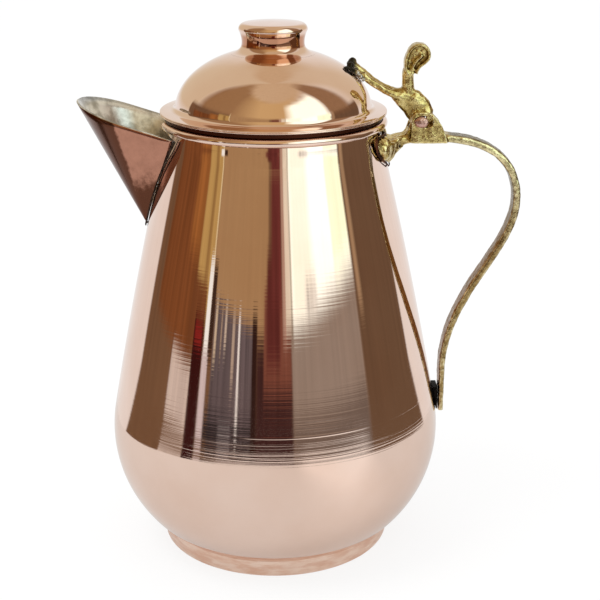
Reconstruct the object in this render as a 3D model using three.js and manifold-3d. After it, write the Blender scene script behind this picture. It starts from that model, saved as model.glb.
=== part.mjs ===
// Copper milk jug with a hinged domed lid, an open beak spout and a cast brass handle.
// Millimetres, +Z up. The jug's axis is the Z axis and it stands on z = 0.
// The spout points to -X and the handle to +X, both at y = 0.
import * as THREE from "three";
import { mergeVertices } from "three/addons/utils/BufferGeometryUtils.js";
import Module from "manifold-3d";

// Sheet, gaps and facets
const SHEET = 0.8;                 // thickness of the copper sheet
const GAP = 0.3;                   // gap kept between pieces that touch
const BEYOND = 30;                 // how far a cutting shape runs on past what it cuts
const ROUND_STEPS = 48;            // facets round the jug's axis
const KNOB_STEPS = 24;             // facets round the knob

// Body: a belly arc, a long flank rounded off between two tangents, and a short neck
const BELLY_CENTRE_R = 15;         // centre of the belly's arc, from the axis
const BELLY_CENTRE_Z = 50;
const BELLY_ARC = 55;              // radius of the belly's arc
const FLANK_CORNER_R = 59.7;       // corner that the flank's long curve rounds off
const FLANK_CORNER_Z = 111;
const NECK_R = 45;                 // outside radius of the neck
const NECK_TOP_Z = 182.2;          // height of the rim bead's centre
const NECK_CORNER_DROP = 10.2;     // corner between the flank and the neck, below the bead's centre
const NECK_ROUNDING = 9;           // how far below that corner the rounding starts
const NECK_ROUNDING_TOP = 7;       // and how far above it the rounding ends
const RIM_BEAD = 1.6;              // radius of the rolled rim
const RIM_BEAD_IN = 0.15;          // how far the bead's centre lies inside the neck's outside
const RIM_LIP_END = -60;           // degrees round the bead where the rolled edge ends
const RIM_WIRE = 0.55;             // radius of the wire in the rim

// Foot: a shallow dish soldered round the open end of the body
const FOOT_HEIGHT = 8;
const FOOT_IN = 0.56;              // the dish's upper edge, inside the body's outline just above it
const FOOT_FLARE = 1.5;            // how much wider the dish is at its upper edge than at the table
const FOOT_RING_WIDTH = 3;         // width of the pressed ring that the jug stands on
const FOOT_RECESS = 1.2;           // height of the dish's floor over the table
const FOOT_SOLDER = 2.4;           // leg of the solder fillet inside the foot
const FOOT_SLOPE = 1.2;            // width of the slope between the ring and the dish's floor
const SKIRT_LIFT = 1.2;            // how far the body's open end stays over the dish's floor

// Spout: a half cone from an apex on the body to a rounded lip, cut by a sloping plane
const SPOUT_OUT = 34.5;            // tip, from the neck's outside
const SPOUT_TIP_RISE = 8.8;        // tip, over the rim bead's centre
const SPOUT_DEPTH = 52;            // from the tip down to where the spout's keel meets the body
const SPOUT_LIP_DROP = 0.318;      // fall of the lip for each millimetre towards the body
const SPOUT_HALF_WIDTH = 22;
const SPOUT_NOSE = 20.5;           // length of the rounded part of the lip
const SPOUT_STEPS = 12;            // facets on half of the rounded part
const SPOUT_APEX_SHARE = 0.002;    // size of the half cone's blunt end, as a share of its lip
const RIM_MOUTH = 11.5;            // half-width of the gap in the rolled rim at the spout
const SEAM_WIDTH = 1.0;            // solder along the spout's joint
const SEAM_HEIGHT = 0.8;

// Lid: a dome with a folded flange, a collar that drops into the neck, and a spun knob
const DOME_RISE = 25.1;            // height of the dome's half ellipse
const LID_LIFT = 2;                // height of the flange over the rim
const FLANGE_OVERHANG = 1.2;       // how far the flange reaches past the neck's outside
const FLANGE_WIDTH = 6.2;          // from the flange's edge to the dome
const FLANGE_EDGE = 1.2;           // thickness of the folded edge
const FLANGE_FOLD = 3.2;           // width of the fold
const FLANGE_RISE = 0.6;           // rise of the flange from its edge to the dome
const FLANGE_CHAMFER = 0.3;        // rounding of the flange's edge
const DOME_FOOT = 0.7;             // width of the small curve between flange and dome
const DOME_START = 0.09;           // radians up the ellipse where the dome starts outside
const DOME_START_IN = 0.03;        // and inside
const COLLAR_DEPTH = 9;            // how far the collar hangs below the flange
const COLLAR_GAP = 0.6;            // play between the collar and the rim bead
const COLLAR_SHOULDER_IN = 0.5;    // edge of the shoulder on the rim, inside the neck's outside
const COLLAR_SOLDER = 1.6;         // leg of the solder fillet between collar and lid
const KNOB_WAIST_R = 13;
const KNOB_WAIST_RISE = 0.7;       // height of the knob's waist over the dome's top
const KNOB_HEAD_R = 14;
const KNOB_RISE = 10.5;            // height of the knob over the dome's top
const KNOB_EDGE = 2.8;             // rounding of the knob's top edge
const KNOB_SIDE = 1;               // straight side of the knob's head, below that edge
const KNOB_CROWN = 0.8;            // rise of the knob's flat top towards its middle
const KNOB_FOOT_R = 17;            // radius of the flare that stands on the dome
const KNOB_FOOT_EDGE = 0.4;        // height of the flare's edge
const KNOB_SOLDER = 1.2;           // leg of the solder fillet inside the knob's foot

// Hinge: two lugs on the handle, the lever's knuckle between them, and a riveted pin
const PIN_OUT = 15.1;              // middle of the pin, from the neck's outside
const PIN_RISE = 0.3;              // and over the rim bead's centre
const PIN_R = 1.75;
const BORE_R = 2.05;
const LUG_GAP = 6;                 // space between the two lugs
const LUG_THICKNESS = 3.5;
const LUG_SLOT = 2.2;              // how far the worn lug holes run on beyond the pin
const LUG_FRONT = 4.9;             // reach of the lugs from the pin: to the jug, outwards and up
const LUG_BACK = 10;
const LUG_RISE = 4;
const LUG_TOE = 2;                 // how far the lugs' inner halves slope out towards the jug
const KNUCKLE_R = 4.9;
const PIN_HEAD_LONG = 3.6;         // half-length and half-height of the hammered heads
const PIN_HEAD_HIGH = 2.4;
const PIN_HEAD_THICK = 1.3;

// Handle: shell-shaped pad, neck, lug block, and a strap that bends out and down to the belly
const STRAP_DROP = 7.2;            // middle of the strap where it leaves the lug block, below the pin
const STRAP_START = 5.9;           // and outwards from the pin
const STRAP_REACH = 55.3;          // middle of the strap where it reaches furthest, from the neck's outside
const STRAP_REACH_DROP = 26.3;     // and below its start
const STRAP_BEND = [19.5, 18.8];   // control lengths of the strap's upper bend, level and upright
const STRAP_FALL = [21.9, 33.8];   // control lengths of its long fall, at the top and at the bottom
const STRAP_CLEAR = 0.35;          // play between the strap's straight lower end and the belly
const STRAP_LOW_RISE = 24;         // where that end starts, over the belly's middle
const STRAP_END_RISE = 5.2;        // and where it ends
const STRAP_THICK = 2.7;           // at the lower end; it thins out along the fall
const STRAP_THICK_TOP = 3.8;       // from the lug block to where it reaches furthest
const STRAP_WIDTH = 8.6;
const STRAP_WIDTH_TOP = 10;
const STRAP_END = [1.5, 0.5, 0.8]; // its blunt end: where it starts, how much thinner and narrower it gets
const LUG_FLOOR_PLAY = 1;          // from the knuckle down to the floor between the lugs
const PAD_FALL = 5.2;              // height where the pad is widest, below the rim bead's centre
const PAD_HALF_WIDTH = 21;
const PAD_RISE = 2.8;              // from the widest height up to the pad's top
const PAD_DROP = 10.8;             // and down to its lowest point
const PAD_SOLDER = 0.7;            // width of the solder round the pad
const LOWER_SOLDER_RISE = 11;      // foot of the solder between strap and belly, over the belly's middle
const LOWER_SOLDER_HEIGHT = 5.2;

// Lid lever: an arm down to the dome and a scrolled thumb piece
const LEVER_WIDTH = LUG_GAP - 2 * GAP;
const ARM_FOOT_SHARE = 0.75;       // where the arm's two ridges end, as a share of the dome's radius
const ARM_FOOT_RISE = 2.1;         // height of their middle over the dome there
const ARM_ROD = 1.9;               // half thickness of each ridge
const ARM_SPREAD = 1.5;            // distance of each ridge from the middle
const TOE_LENGTH = 5;              // how far the near ridge's bent end runs on
const ARM_SOLDER = [4.6, 4, 2.6];    // half sizes of the solder at the arm's foot
const ARM_SOLDER_OUT = 3.2;        // its middle, outwards from the arm's foot
const ARM_SOLDER_TILT = 42;        // degrees
const THUMB_HALF_WIDTH = 3.6;
const THUMB_ROUNDING = 1.1;        // rounding of the scroll's edges
const THUMB_SIZE = 4.7;            // height of the scroll over its eye
const THUMB_IN = 1.2;              // the scroll's eye, from the pin towards the jug
const THUMB_RISE = 26.8;           // and over the pin
const THUMB_HOLLOW_R = 2.9;        // sunk ring in each side of the scroll
const THUMB_HOLLOW_DEPTH = 1.1;
const THUMB_BOSS_R = 1.3;

// Places that follow from these sizes
const BODY_LOW_Z = FOOT_HEIGHT + GAP;
const BODY_LOW_R = BELLY_CENTRE_R + Math.sqrt(BELLY_ARC ** 2 - (BELLY_CENTRE_Z - BODY_LOW_Z) ** 2);
const FOOT_TOP_R = BODY_LOW_R - FOOT_IN;
const FOOT_R = FOOT_TOP_R - FOOT_FLARE;
const NECK_CORNER_Z = NECK_TOP_Z - NECK_CORNER_DROP;
const RIM_R = NECK_R - RIM_BEAD_IN;
const SPOUT_REACH = NECK_R + SPOUT_OUT;
const SPOUT_TIP_Z = NECK_TOP_Z + SPOUT_TIP_RISE;
const SPOUT_APEX_Z = SPOUT_TIP_Z - SPOUT_DEPTH;
const FLANGE_R = NECK_R + FLANGE_OVERHANG;
const FLANGE_UNDER_Z = NECK_TOP_Z + RIM_BEAD + LID_LIFT;
const FLANGE_TOP_Z = FLANGE_UNDER_Z + FLANGE_EDGE;
const DOME_R = FLANGE_R - FLANGE_WIDTH;
const DOME_BASE_Z = FLANGE_TOP_Z;
const DOME_TOP_Z = DOME_BASE_Z + DOME_RISE;
const PIN_X = NECK_R + PIN_OUT;
const PIN_Z = NECK_TOP_Z + PIN_RISE;
const STRAP_Z = PIN_Z - STRAP_DROP;
const STRAP_OUT_X = NECK_R + STRAP_REACH;
const STRAP_OUT_Z = STRAP_Z - STRAP_REACH_DROP;
const STRAP_LOW_X = BELLY_CENTRE_R + BELLY_ARC + STRAP_CLEAR + STRAP_THICK / 2;
const STRAP_LOW_Z = BELLY_CENTRE_Z + STRAP_LOW_RISE;
const STRAP_END_Z = BELLY_CENTRE_Z + STRAP_END_RISE;
const LUG_FLOOR_Z = PIN_Z - KNUCKLE_R - LUG_FLOOR_PLAY;
const PAD_Z = NECK_TOP_Z - PAD_FALL;
const ARM_FOOT_X = DOME_R * ARM_FOOT_SHARE;

const wasm = await Module();
wasm.setup();

// Closed geometry to solid: positions only, shared corners merged, faces turned outwards.
function toSolid(geometry) {
  const bare = geometry.clone();
  bare.deleteAttribute("normal");
  bare.deleteAttribute("uv");
  const merged = mergeVertices(bare, 1e-4);
  const points = merged.attributes.position.array;
  const triangles = [];
  let volume = 0;
  const corner = [0, 1, 2].map(() => new THREE.Vector3());
  for (let i = 0; i < merged.index.count; i += 3) {
    const [a, b, c] = [0, 1, 2].map((k) => merged.index.getX(i + k));
    if (a === b || b === c || c === a) continue;
    [a, b, c].forEach((vertex, k) => corner[k].fromArray(points, 3 * vertex));
    volume += corner[0].dot(corner[1].clone().cross(corner[2]));
    triangles.push([a, b, c]);
  }
  const outward = volume > 0 ? triangles : triangles.map(([a, b, c]) => [a, c, b]);
  return new wasm.Manifold(new wasm.Mesh({
    numProp: 3,
    vertProperties: new Float32Array(points),
    triVerts: new Uint32Array(outward.flat()),
  }));
}

function toGeometry(solid) {
  const mesh = solid.getMesh();
  const geometry = new THREE.BufferGeometry();
  geometry.setAttribute("position", new THREE.BufferAttribute(new Float32Array(mesh.vertProperties), 3));
  geometry.setIndex(new THREE.BufferAttribute(new Uint32Array(mesh.triVerts), 1));
  geometry.computeVertexNormals();
  return geometry;
}

// A profile of [radius, height] points turned round the jug's axis.
function turned(profile, steps = ROUND_STEPS) {
  const points = profile.map(([radius, height]) => new THREE.Vector2(radius, height));
  const closed = points[0].x === 0 && points.at(-1).x === 0;
  if (!closed) points.push(points[0].clone());
  return toSolid(new THREE.LatheGeometry(points, steps).rotateX(Math.PI / 2));
}

// Rings with the same number of points joined side by side, with flat ends.
function lofted(rings) {
  const count = rings[0].length;
  const points = rings.flat();
  const triangles = [];
  const index = (ring, k) => ring * count + (k % count);
  for (let ring = 0; ring + 1 < rings.length; ring += 1) {
    for (let k = 0; k < count; k += 1) {
      triangles.push(index(ring, k), index(ring, k + 1), index(ring + 1, k + 1));
      triangles.push(index(ring, k), index(ring + 1, k + 1), index(ring + 1, k));
    }
  }
  const last = rings.length - 1;
  for (let k = 1; k + 1 < count; k += 1) {
    triangles.push(index(0, 0), index(0, k + 1), index(0, k));
    triangles.push(index(last, 0), index(last, k), index(last, k + 1));
  }
  const geometry = new THREE.BufferGeometry();
  geometry.setAttribute("position", new THREE.Float32BufferAttribute(points.flatMap((p) => p.toArray()), 3));
  geometry.setIndex(triangles);
  return toSolid(geometry);
}

// A bar along a line in a plane of constant y. Each station is [x, z, half thickness, half width],
// and a fifth value moves it sideways.
const BAR_POINTS = 12;
const squared = (share, power) => Math.sign(share) * Math.abs(share) ** power;
function bar(stations, squareness = 0.6, grow = 0) {
  const rings = stations.map(([x, z, thick, width, y = 0], i) => {
    const before = stations[Math.max(i - 1, 0)];
    const after = stations[Math.min(i + 1, stations.length - 1)];
    const along = new THREE.Vector2(after[0] - before[0], after[1] - before[1]).normalize();
    return Array.from({ length: BAR_POINTS }, (_, k) => {
      const angle = (2 * Math.PI * (k + 0.5)) / BAR_POINTS;
      const up = squared(Math.sin(angle), squareness) * (thick + grow);
      const side = squared(Math.cos(angle), squareness) * (width + grow);
      return new THREE.Vector3(x - along.y * up, y + side, z + along.x * up);
    });
  });
  return lofted(rings);
}

// A flat outline of [x, z] points given a width in Y, centred on y = middle.
function plate(outline, width, middle = 0) {
  const shape = new THREE.Shape(outline.map(([x, z]) => new THREE.Vector2(x, z)));
  const geometry = new THREE.ExtrudeGeometry(shape, { depth: width, bevelEnabled: false, curveSegments: 8 });
  geometry.translate(0, 0, -width / 2).rotateX(Math.PI / 2).translate(0, middle, 0);
  return toSolid(geometry);
}

function crossPin(radius, length, middle = 0, steps = 16) {
  return toSolid(new THREE.CylinderGeometry(radius, radius, length, steps)).translate([PIN_X, middle, PIN_Z]);
}

function block(low, high) {
  const size = high.map((value, k) => value - low[k]);
  const middle = high.map((value, k) => (value + low[k]) / 2);
  return toSolid(new THREE.BoxGeometry(...size).translate(...middle));
}

function arc(centreR, centreZ, radius, from, to, steps) {
  return Array.from({ length: steps + 1 }, (_, k) => {
    const angle = from + ((to - from) * k) / steps;
    return [centreR + radius * Math.cos(angle), centreZ + radius * Math.sin(angle)];
  });
}

function bend(start, corner, end, steps) {
  const curve = new THREE.QuadraticBezierCurve(
    new THREE.Vector2(...start), new THREE.Vector2(...corner), new THREE.Vector2(...end));
  return curve.getPoints(steps).map((point) => [point.x, point.y]);
}

const radians = THREE.MathUtils.degToRad;

// Outside of the body, from the foot's upper edge to the top of the neck, moved out by grow.
function bodyOutline(grow = 0) {
  const centre = [BELLY_CENTRE_R, BELLY_CENTRE_Z];
  const toCorner = [FLANK_CORNER_R - centre[0], FLANK_CORNER_Z - centre[1]];
  const distance = Math.hypot(...toCorner);
  const lean = Math.atan2(toCorner[1], toCorner[0]) - Math.acos(BELLY_ARC / distance);
  const foot = Math.asin((BODY_LOW_Z - BELLY_CENTRE_Z) / BELLY_ARC);
  const belly = arc(...centre, BELLY_ARC + grow, foot, lean, 9);
  const slope = [FLANK_CORNER_R - NECK_R, FLANK_CORNER_Z - NECK_CORNER_Z];
  const share = NECK_ROUNDING / Math.hypot(...slope);
  const neckStart = [NECK_R + slope[0] * share + grow, NECK_CORNER_Z + slope[1] * share];
  const corner = [FLANK_CORNER_R + grow, FLANK_CORNER_Z];
  const flank = bend(belly.at(-1), corner, neckStart, 5).slice(1);
  const neckEnd = [NECK_R + grow, NECK_CORNER_Z + NECK_ROUNDING_TOP];
  const neck = bend(neckStart, [NECK_R + grow, NECK_CORNER_Z], neckEnd, 2).slice(1);
  return [...belly, ...flank, ...neck];
}

// The body filled up, for cutting what stands against it.
function bodyFilled(grow) {
  const outline = bodyOutline(grow);
  const top = NECK_TOP_Z + BEYOND;
  return turned([[0, outline[0][1]], ...outline, [NECK_R + grow, top], [0, top]]);
}

const FOOT_WALL_LEAN = (FOOT_TOP_R - FOOT_R) / FOOT_HEIGHT;
const footWall = (z) => FOOT_R + FOOT_WALL_LEAN * z;

function footDish() {
  const ringIn = FOOT_R - FOOT_RING_WIDTH;
  const floorR = ringIn - FOOT_SLOPE;
  return turned([
    [0, FOOT_RECESS], [floorR, FOOT_RECESS], [ringIn, 0], [FOOT_R - SHEET, 0], [footWall(SHEET), SHEET],
    [FOOT_TOP_R, FOOT_HEIGHT], [FOOT_TOP_R - SHEET, FOOT_HEIGHT],
    [footWall(FOOT_RECESS) - SHEET, FOOT_RECESS], [FOOT_R - 2 * SHEET, SHEET], [ringIn + SHEET / 2, SHEET],
    [floorR + SHEET / 2, FOOT_RECESS + SHEET], [0, FOOT_RECESS + SHEET],
  ]);
}

const SKIRT_LOW_Z = FOOT_RECESS + SHEET + SKIRT_LIFT;
const skirtOutside = (z) => footWall(z) - SHEET - GAP;
const skirtInside = (z) => skirtOutside(z) - SHEET;

function bodyShell() {
  const outside = bodyOutline();
  const inside = bodyOutline(-SHEET).reverse();
  const lip = radians(RIM_LIP_END - 360);
  const hollowFoot = -Math.acos((NECK_R - RIM_R) / (RIM_BEAD - SHEET));
  const hollow = arc(RIM_R, NECK_TOP_Z, RIM_BEAD - SHEET, hollowFoot, lip, 8);
  const rollFoot = -Math.acos((NECK_R - SHEET - RIM_R) / RIM_BEAD);
  const roll = arc(RIM_R, NECK_TOP_Z, RIM_BEAD, lip, rollFoot, 10);
  return turned([
    [skirtOutside(SKIRT_LOW_Z), SKIRT_LOW_Z], [skirtOutside(FOOT_HEIGHT), BODY_LOW_Z],
    ...outside, ...hollow, ...roll, ...inside,
    [skirtInside(FOOT_HEIGHT), BODY_LOW_Z + SHEET], [skirtInside(SKIRT_LOW_Z), SKIRT_LOW_Z],
  ]);
}

function ring(centreR, centreZ, radius, steps) {
  return turned(arc(centreR, centreZ, radius, 0, 2 * Math.PI * (1 - 1 / steps), steps - 1));
}

function baseSolder() {
  const low = FOOT_RECESS + SHEET + GAP;
  const high = low + FOOT_SOLDER;
  const outer = Math.min(skirtInside(SKIRT_LOW_Z), skirtInside(high)) - GAP;
  return turned([[outer - FOOT_SOLDER, low], [outer, low], [outer, high]]);
}

// Height of the lip's plane at x.
const lipHeight = (x) => SPOUT_TIP_Z - SPOUT_LIP_DROP * (x + SPOUT_REACH);

// Outside of the body at a height, found along its outline.
function bodyRadius(z) {
  const outline = bodyOutline();
  const above = outline.findIndex((point) => point[1] > z);
  if (above < 1) return NECK_R;
  const [low, high] = [outline[above - 1], outline[above]];
  return low[0] + ((high[0] - low[0]) * (z - low[1])) / (high[1] - low[1]);
}

// Half cone under the spout's lip, moved out by grow and closed by a wall inside the neck.
function spoutCone(grow, raise) {
  const noseX = -SPOUT_REACH + SPOUT_NOSE;
  const back = -NECK_R / 2;
  const outline = [[back, -SPOUT_HALF_WIDTH - grow]];
  for (let k = -SPOUT_STEPS; k <= SPOUT_STEPS; k += 1) {
    const angle = (k / SPOUT_STEPS) * (Math.PI / 2);
    const x = noseX - (SPOUT_NOSE + grow) * Math.cos(angle);
    outline.push([x, (SPOUT_HALF_WIDTH + grow) * Math.sin(angle)]);
  }
  outline.push([back, SPOUT_HALF_WIDTH + grow]);
  const lip = outline.map(([x, y]) => new THREE.Vector3(x, y, lipHeight(x)));
  const raised = lip.map((point) => point.clone().add(new THREE.Vector3(0, 0, raise)));
  const slope = (SPOUT_TIP_Z - SPOUT_APEX_Z) / (SPOUT_REACH - bodyRadius(SPOUT_APEX_Z));
  const apex = new THREE.Vector3(-bodyRadius(SPOUT_APEX_Z), 0, SPOUT_APEX_Z - grow * slope);
  const small = lip.map((point) => apex.clone().lerp(point, SPOUT_APEX_SHARE));
  return lofted(raise > 0 ? [small, lip, raised] : [small, lip]);
}

const SPOUT_WALL = SHEET * 1.15;   // the sheet measured level, across the sloping wall

function spoutShell() {
  return spoutCone(0, 0).subtract(spoutCone(-SPOUT_WALL, BEYOND)).subtract(bodyFilled(GAP));
}

function spoutSolder() {
  const legs = spoutCone(GAP + SEAM_WIDTH, 0).subtract(spoutCone(GAP, BEYOND));
  return legs.intersect(bodyFilled(GAP + SEAM_HEIGHT)).subtract(bodyFilled(GAP));
}

// Outside of the dome, from its foot to the crown, moved out by grow.
function domeOutline(grow, from, steps = 9) {
  return Array.from({ length: steps + 1 }, (_, k) => {
    const angle = from + (Math.PI / 2 - from) * (k / steps);
    return [(DOME_R + grow) * Math.cos(angle), DOME_BASE_Z + (DOME_RISE + grow) * Math.sin(angle)];
  }).map(([radius, z], k) => (k === steps ? [0, z] : [radius, z]));
}

function lidShell() {
  const outside = domeOutline(0, DOME_START);
  const inside = domeOutline(-SHEET, DOME_START_IN).reverse();
  const innerZ = FLANGE_TOP_Z + FLANGE_RISE;
  return turned([
    ...inside, [DOME_R - SHEET, innerZ - SHEET], [FLANGE_R - FLANGE_FOLD, FLANGE_TOP_Z - SHEET / 2],
    [FLANGE_R - FLANGE_FOLD, FLANGE_UNDER_Z], [FLANGE_R - FLANGE_CHAMFER, FLANGE_UNDER_Z],
    [FLANGE_R, FLANGE_UNDER_Z + FLANGE_EDGE / 2], [FLANGE_R - FLANGE_CHAMFER, FLANGE_TOP_Z],
    [DOME_R + DOME_FOOT, innerZ], ...outside,
  ]);
}

function lidFilled(grow) {
  const low = DOME_BASE_Z - BEYOND;
  return turned([[0, low], [DOME_R + grow, low], ...domeOutline(grow, 0)]);
}

const COLLAR_R = RIM_R - RIM_BEAD - COLLAR_GAP;

function lidCollar() {
  const sit = NECK_TOP_Z + RIM_BEAD + GAP;
  const under = FLANGE_UNDER_Z - GAP;
  const low = FLANGE_UNDER_Z - COLLAR_DEPTH;
  const shoulder = NECK_R - COLLAR_SHOULDER_IN;
  return turned([
    [COLLAR_R - SHEET, low], [COLLAR_R, low], [COLLAR_R, sit], [shoulder, sit], [shoulder, under],
    [COLLAR_R - SHEET, under],
  ]);
}

function collarSolder() {
  const outer = COLLAR_R - SHEET - GAP;
  const high = FLANGE_TOP_Z - SHEET - GAP;
  return turned([[outer - COLLAR_SOLDER, high], [outer, high - COLLAR_SOLDER], [outer, high]]);
}

const domeHeight = (radius) => DOME_BASE_Z + DOME_RISE * Math.sqrt(1 - (radius / DOME_R) ** 2);

function lidKnob() {
  const footZ = domeHeight(KNOB_FOOT_R) + GAP;
  const shoulder = KNOB_HEAD_R - KNOB_EDGE;
  const top = DOME_TOP_Z + KNOB_RISE;
  const edgeZ = top - KNOB_CROWN - KNOB_EDGE;
  const headZ = edgeZ - KNOB_SIDE;
  const waistZ = DOME_TOP_Z + KNOB_WAIST_RISE;
  const flare = bend(
    [KNOB_FOOT_R, footZ + KNOB_FOOT_EDGE], [KNOB_WAIST_R, footZ + 3 * KNOB_FOOT_EDGE],
    [KNOB_WAIST_R, waistZ], 5);
  const outside = [
    ...flare, [KNOB_HEAD_R, headZ], ...arc(shoulder, edgeZ, KNOB_EDGE, 0, Math.PI / 2, 4),
    [shoulder / 2, top - KNOB_CROWN / 4], [0, top],
  ];
  const inside = [
    [0, top - SHEET], [shoulder / 2, top - KNOB_CROWN / 4 - SHEET],
    ...arc(shoulder, edgeZ, KNOB_EDGE - SHEET, Math.PI / 2, 0, 3), [KNOB_HEAD_R - SHEET, headZ],
    [KNOB_WAIST_R - SHEET, waistZ], [KNOB_WAIST_R - SHEET, domeHeight(KNOB_WAIST_R - SHEET) + GAP],
  ];
  return turned([...outside, ...inside, [KNOB_FOOT_R, footZ]], KNOB_STEPS);
}

function knobSolder() {
  const outer = KNOB_WAIST_R - SHEET - GAP;
  const inner = outer - KNOB_SOLDER;
  const low = domeHeight(outer) + GAP;
  return turned([[inner, domeHeight(inner) + GAP], [outer, low], [outer, low + KNOB_SOLDER]], KNOB_STEPS);
}

// Handle
const LUG_OUT = LUG_GAP / 2 + LUG_THICKNESS;
const STRAP_TOP_Z = STRAP_Z + STRAP_THICK_TOP / 2;
const BLOCK_LOW_Z = STRAP_Z - STRAP_THICK_TOP / 2;

function strapLine() {
  const point = (x, z) => new THREE.Vector2(x, z);
  const start = PIN_X + STRAP_START;
  const line = new THREE.CurvePath();
  line.add(new THREE.CubicBezierCurve(
    point(start, STRAP_Z), point(start + STRAP_BEND[0], STRAP_Z),
    point(STRAP_OUT_X, STRAP_OUT_Z + STRAP_BEND[1]), point(STRAP_OUT_X, STRAP_OUT_Z)));
  line.add(new THREE.CubicBezierCurve(
    point(STRAP_OUT_X, STRAP_OUT_Z), point(STRAP_OUT_X, STRAP_OUT_Z - STRAP_FALL[0]),
    point(STRAP_LOW_X, STRAP_LOW_Z + STRAP_FALL[1]), point(STRAP_LOW_X, STRAP_LOW_Z)));
  return line;
}

function handleStrap() {
  const [top, fall] = strapLine().curves;
  const stations = [];
  const steps = 10;
  for (let k = 0; k <= 2 * steps; k += 1) {
    const curve = k <= steps ? top : fall;
    const point = curve.getPoint(k <= steps ? k / steps : k / steps - 1);
    const thin = Math.max(k / steps - 1, 0) ** 2;
    const narrow = Math.sin((Math.PI * k) / (2 * steps));
    stations.push([
      point.x, point.y,
      THREE.MathUtils.lerp(STRAP_THICK_TOP, STRAP_THICK, thin) / 2,
      THREE.MathUtils.lerp(STRAP_WIDTH_TOP, STRAP_WIDTH, narrow) / 2,
    ]);
  }
  const [start, thinner, narrower] = STRAP_END;
  stations.push([STRAP_LOW_X, STRAP_END_Z + start, STRAP_THICK / 2, STRAP_WIDTH_TOP / 2]);
  stations.push([STRAP_LOW_X, STRAP_END_Z, STRAP_THICK / 2 - thinner, STRAP_WIDTH_TOP / 2 - narrower]);
  return bar(stations);
}

// The pad is a fan that widens from the strap's section to the body. Each station is its distance
// outside the neck and its shares of the pad's width, rise, drop and height.
const PAD_POINTS = 24;
function handlePad(grow = 0) {
  const stations = [
    [14, 0, 0, 0, 0], [10, 0, 0.1, 0.1, 0], [8.5, 0.01, 0, 0.19, 0], [7.3, 0.05, 0, 0.27, -0.1],
    [5.3, 0.14, 0, 0.43, -0.4], [3.4, 0.28, 0, 0.6, -1], [1.6, 0.5, 0, 0.75, -1.2],
    [-0.5, 0.75, 1, 0.88, 0.1], [-3, 0.92, 1, 0.97, 0.7], [-5, 1, 1, 1, 1], [-10, 1, 1, 1, 1],
  ];
  const mix = THREE.MathUtils.lerp;
  const rings = stations.map(([out, wide, up, down, level]) => {
    const width = mix(STRAP_WIDTH_TOP / 2, PAD_HALF_WIDTH, wide) + grow;
    const rise = mix(STRAP_THICK_TOP / 2, PAD_RISE, up) + grow;
    const drop = mix(STRAP_THICK_TOP / 2, PAD_DROP, down) + grow;
    const middle = mix(STRAP_Z, PAD_Z, level);
    return Array.from({ length: PAD_POINTS }, (_, k) => {
      const angle = (2 * Math.PI * k) / PAD_POINTS;
      const height = squared(Math.sin(angle), 0.85) * (angle < Math.PI ? rise : drop);
      return new THREE.Vector3(NECK_R + out, width * squared(Math.cos(angle), 0.65), middle + height);
    });
  });
  return lofted(rings);
}

function handle() {
  const front = PIN_X - LUG_FRONT;
  const back = PIN_X + LUG_BACK;
  const lugOutline = [
    [front, BLOCK_LOW_Z], [back, BLOCK_LOW_Z], [back + 0.2, STRAP_TOP_Z], [back - 0.5, PIN_Z - 2],
    [back - 2.1, PIN_Z + 1.2], [back - 4.4, PIN_Z + LUG_RISE - 0.9], [PIN_X + 1.4, PIN_Z + LUG_RISE],
    [front + 1.8, PIN_Z + LUG_RISE], [front + 0.4, PIN_Z + LUG_RISE - 1.4],
  ];
  const lug = (middle) => plate(lugOutline, LUG_THICKNESS, middle);
  const join = LUG_GAP + 2 * GAP;
  const floor = plate([
    [front, BLOCK_LOW_Z], [back - 1, BLOCK_LOW_Z], [back - 1, LUG_FLOOR_Z], [front, LUG_FLOOR_Z],
  ], join);
  const toe = front - LUG_TOE;
  const web = plate([
    [toe, LUG_FLOOR_Z - 1], [front, LUG_FLOOR_Z - 1], [front, PIN_Z - 2.5], [front - 0.6, PIN_Z - 2.5],
  ], join);
  const buttress = (middle) => plate([
    [toe, LUG_FLOOR_Z - 1], [front + 1, LUG_FLOOR_Z - 1], [front + 1, PIN_Z + LUG_RISE - 2],
    [front + 0.5, PIN_Z + LUG_RISE - 2],
  ], LUG_THICKNESS / 2, middle);
  const side = (LUG_GAP + LUG_THICKNESS) / 2;
  const inner = LUG_GAP / 2 + LUG_THICKNESS / 4;
  const hole = crossPin(BORE_R, 2 * LUG_OUT + 2);
  const slot = wasm.Manifold.hull([hole, hole.translate([LUG_SLOT, 0, 0])]);
  return handlePad().add(handleStrap()).add(lug(-side)).add(lug(side)).add(floor).add(web)
    .add(buttress(-inner)).add(buttress(inner)).subtract(slot).subtract(bodyFilled(GAP));
}

function upperSolder() {
  const rimUnder = NECK_TOP_Z - RIM_BEAD - GAP;
  const outside = block([NECK_R / 2, -NECK_R, PAD_Z - 2 * PAD_DROP], [2 * NECK_R, NECK_R, rimUnder]);
  return handlePad(GAP + PAD_SOLDER).subtract(handlePad(GAP)).intersect(bodyFilled(GAP + PAD_SOLDER))
    .subtract(bodyFilled(GAP)).intersect(outside);
}

function lowerSolder() {
  const face = STRAP_LOW_X - STRAP_THICK / 2 - GAP;
  const width = STRAP_WIDTH_TOP / 2 - STRAP_END[2];
  const low = BELLY_CENTRE_Z + LOWER_SOLDER_RISE;
  const wedge = block([face - BEYOND, -width, low], [face, width, low + LOWER_SOLDER_HEIGHT]);
  return wedge.subtract(bodyFilled(GAP));
}

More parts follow.
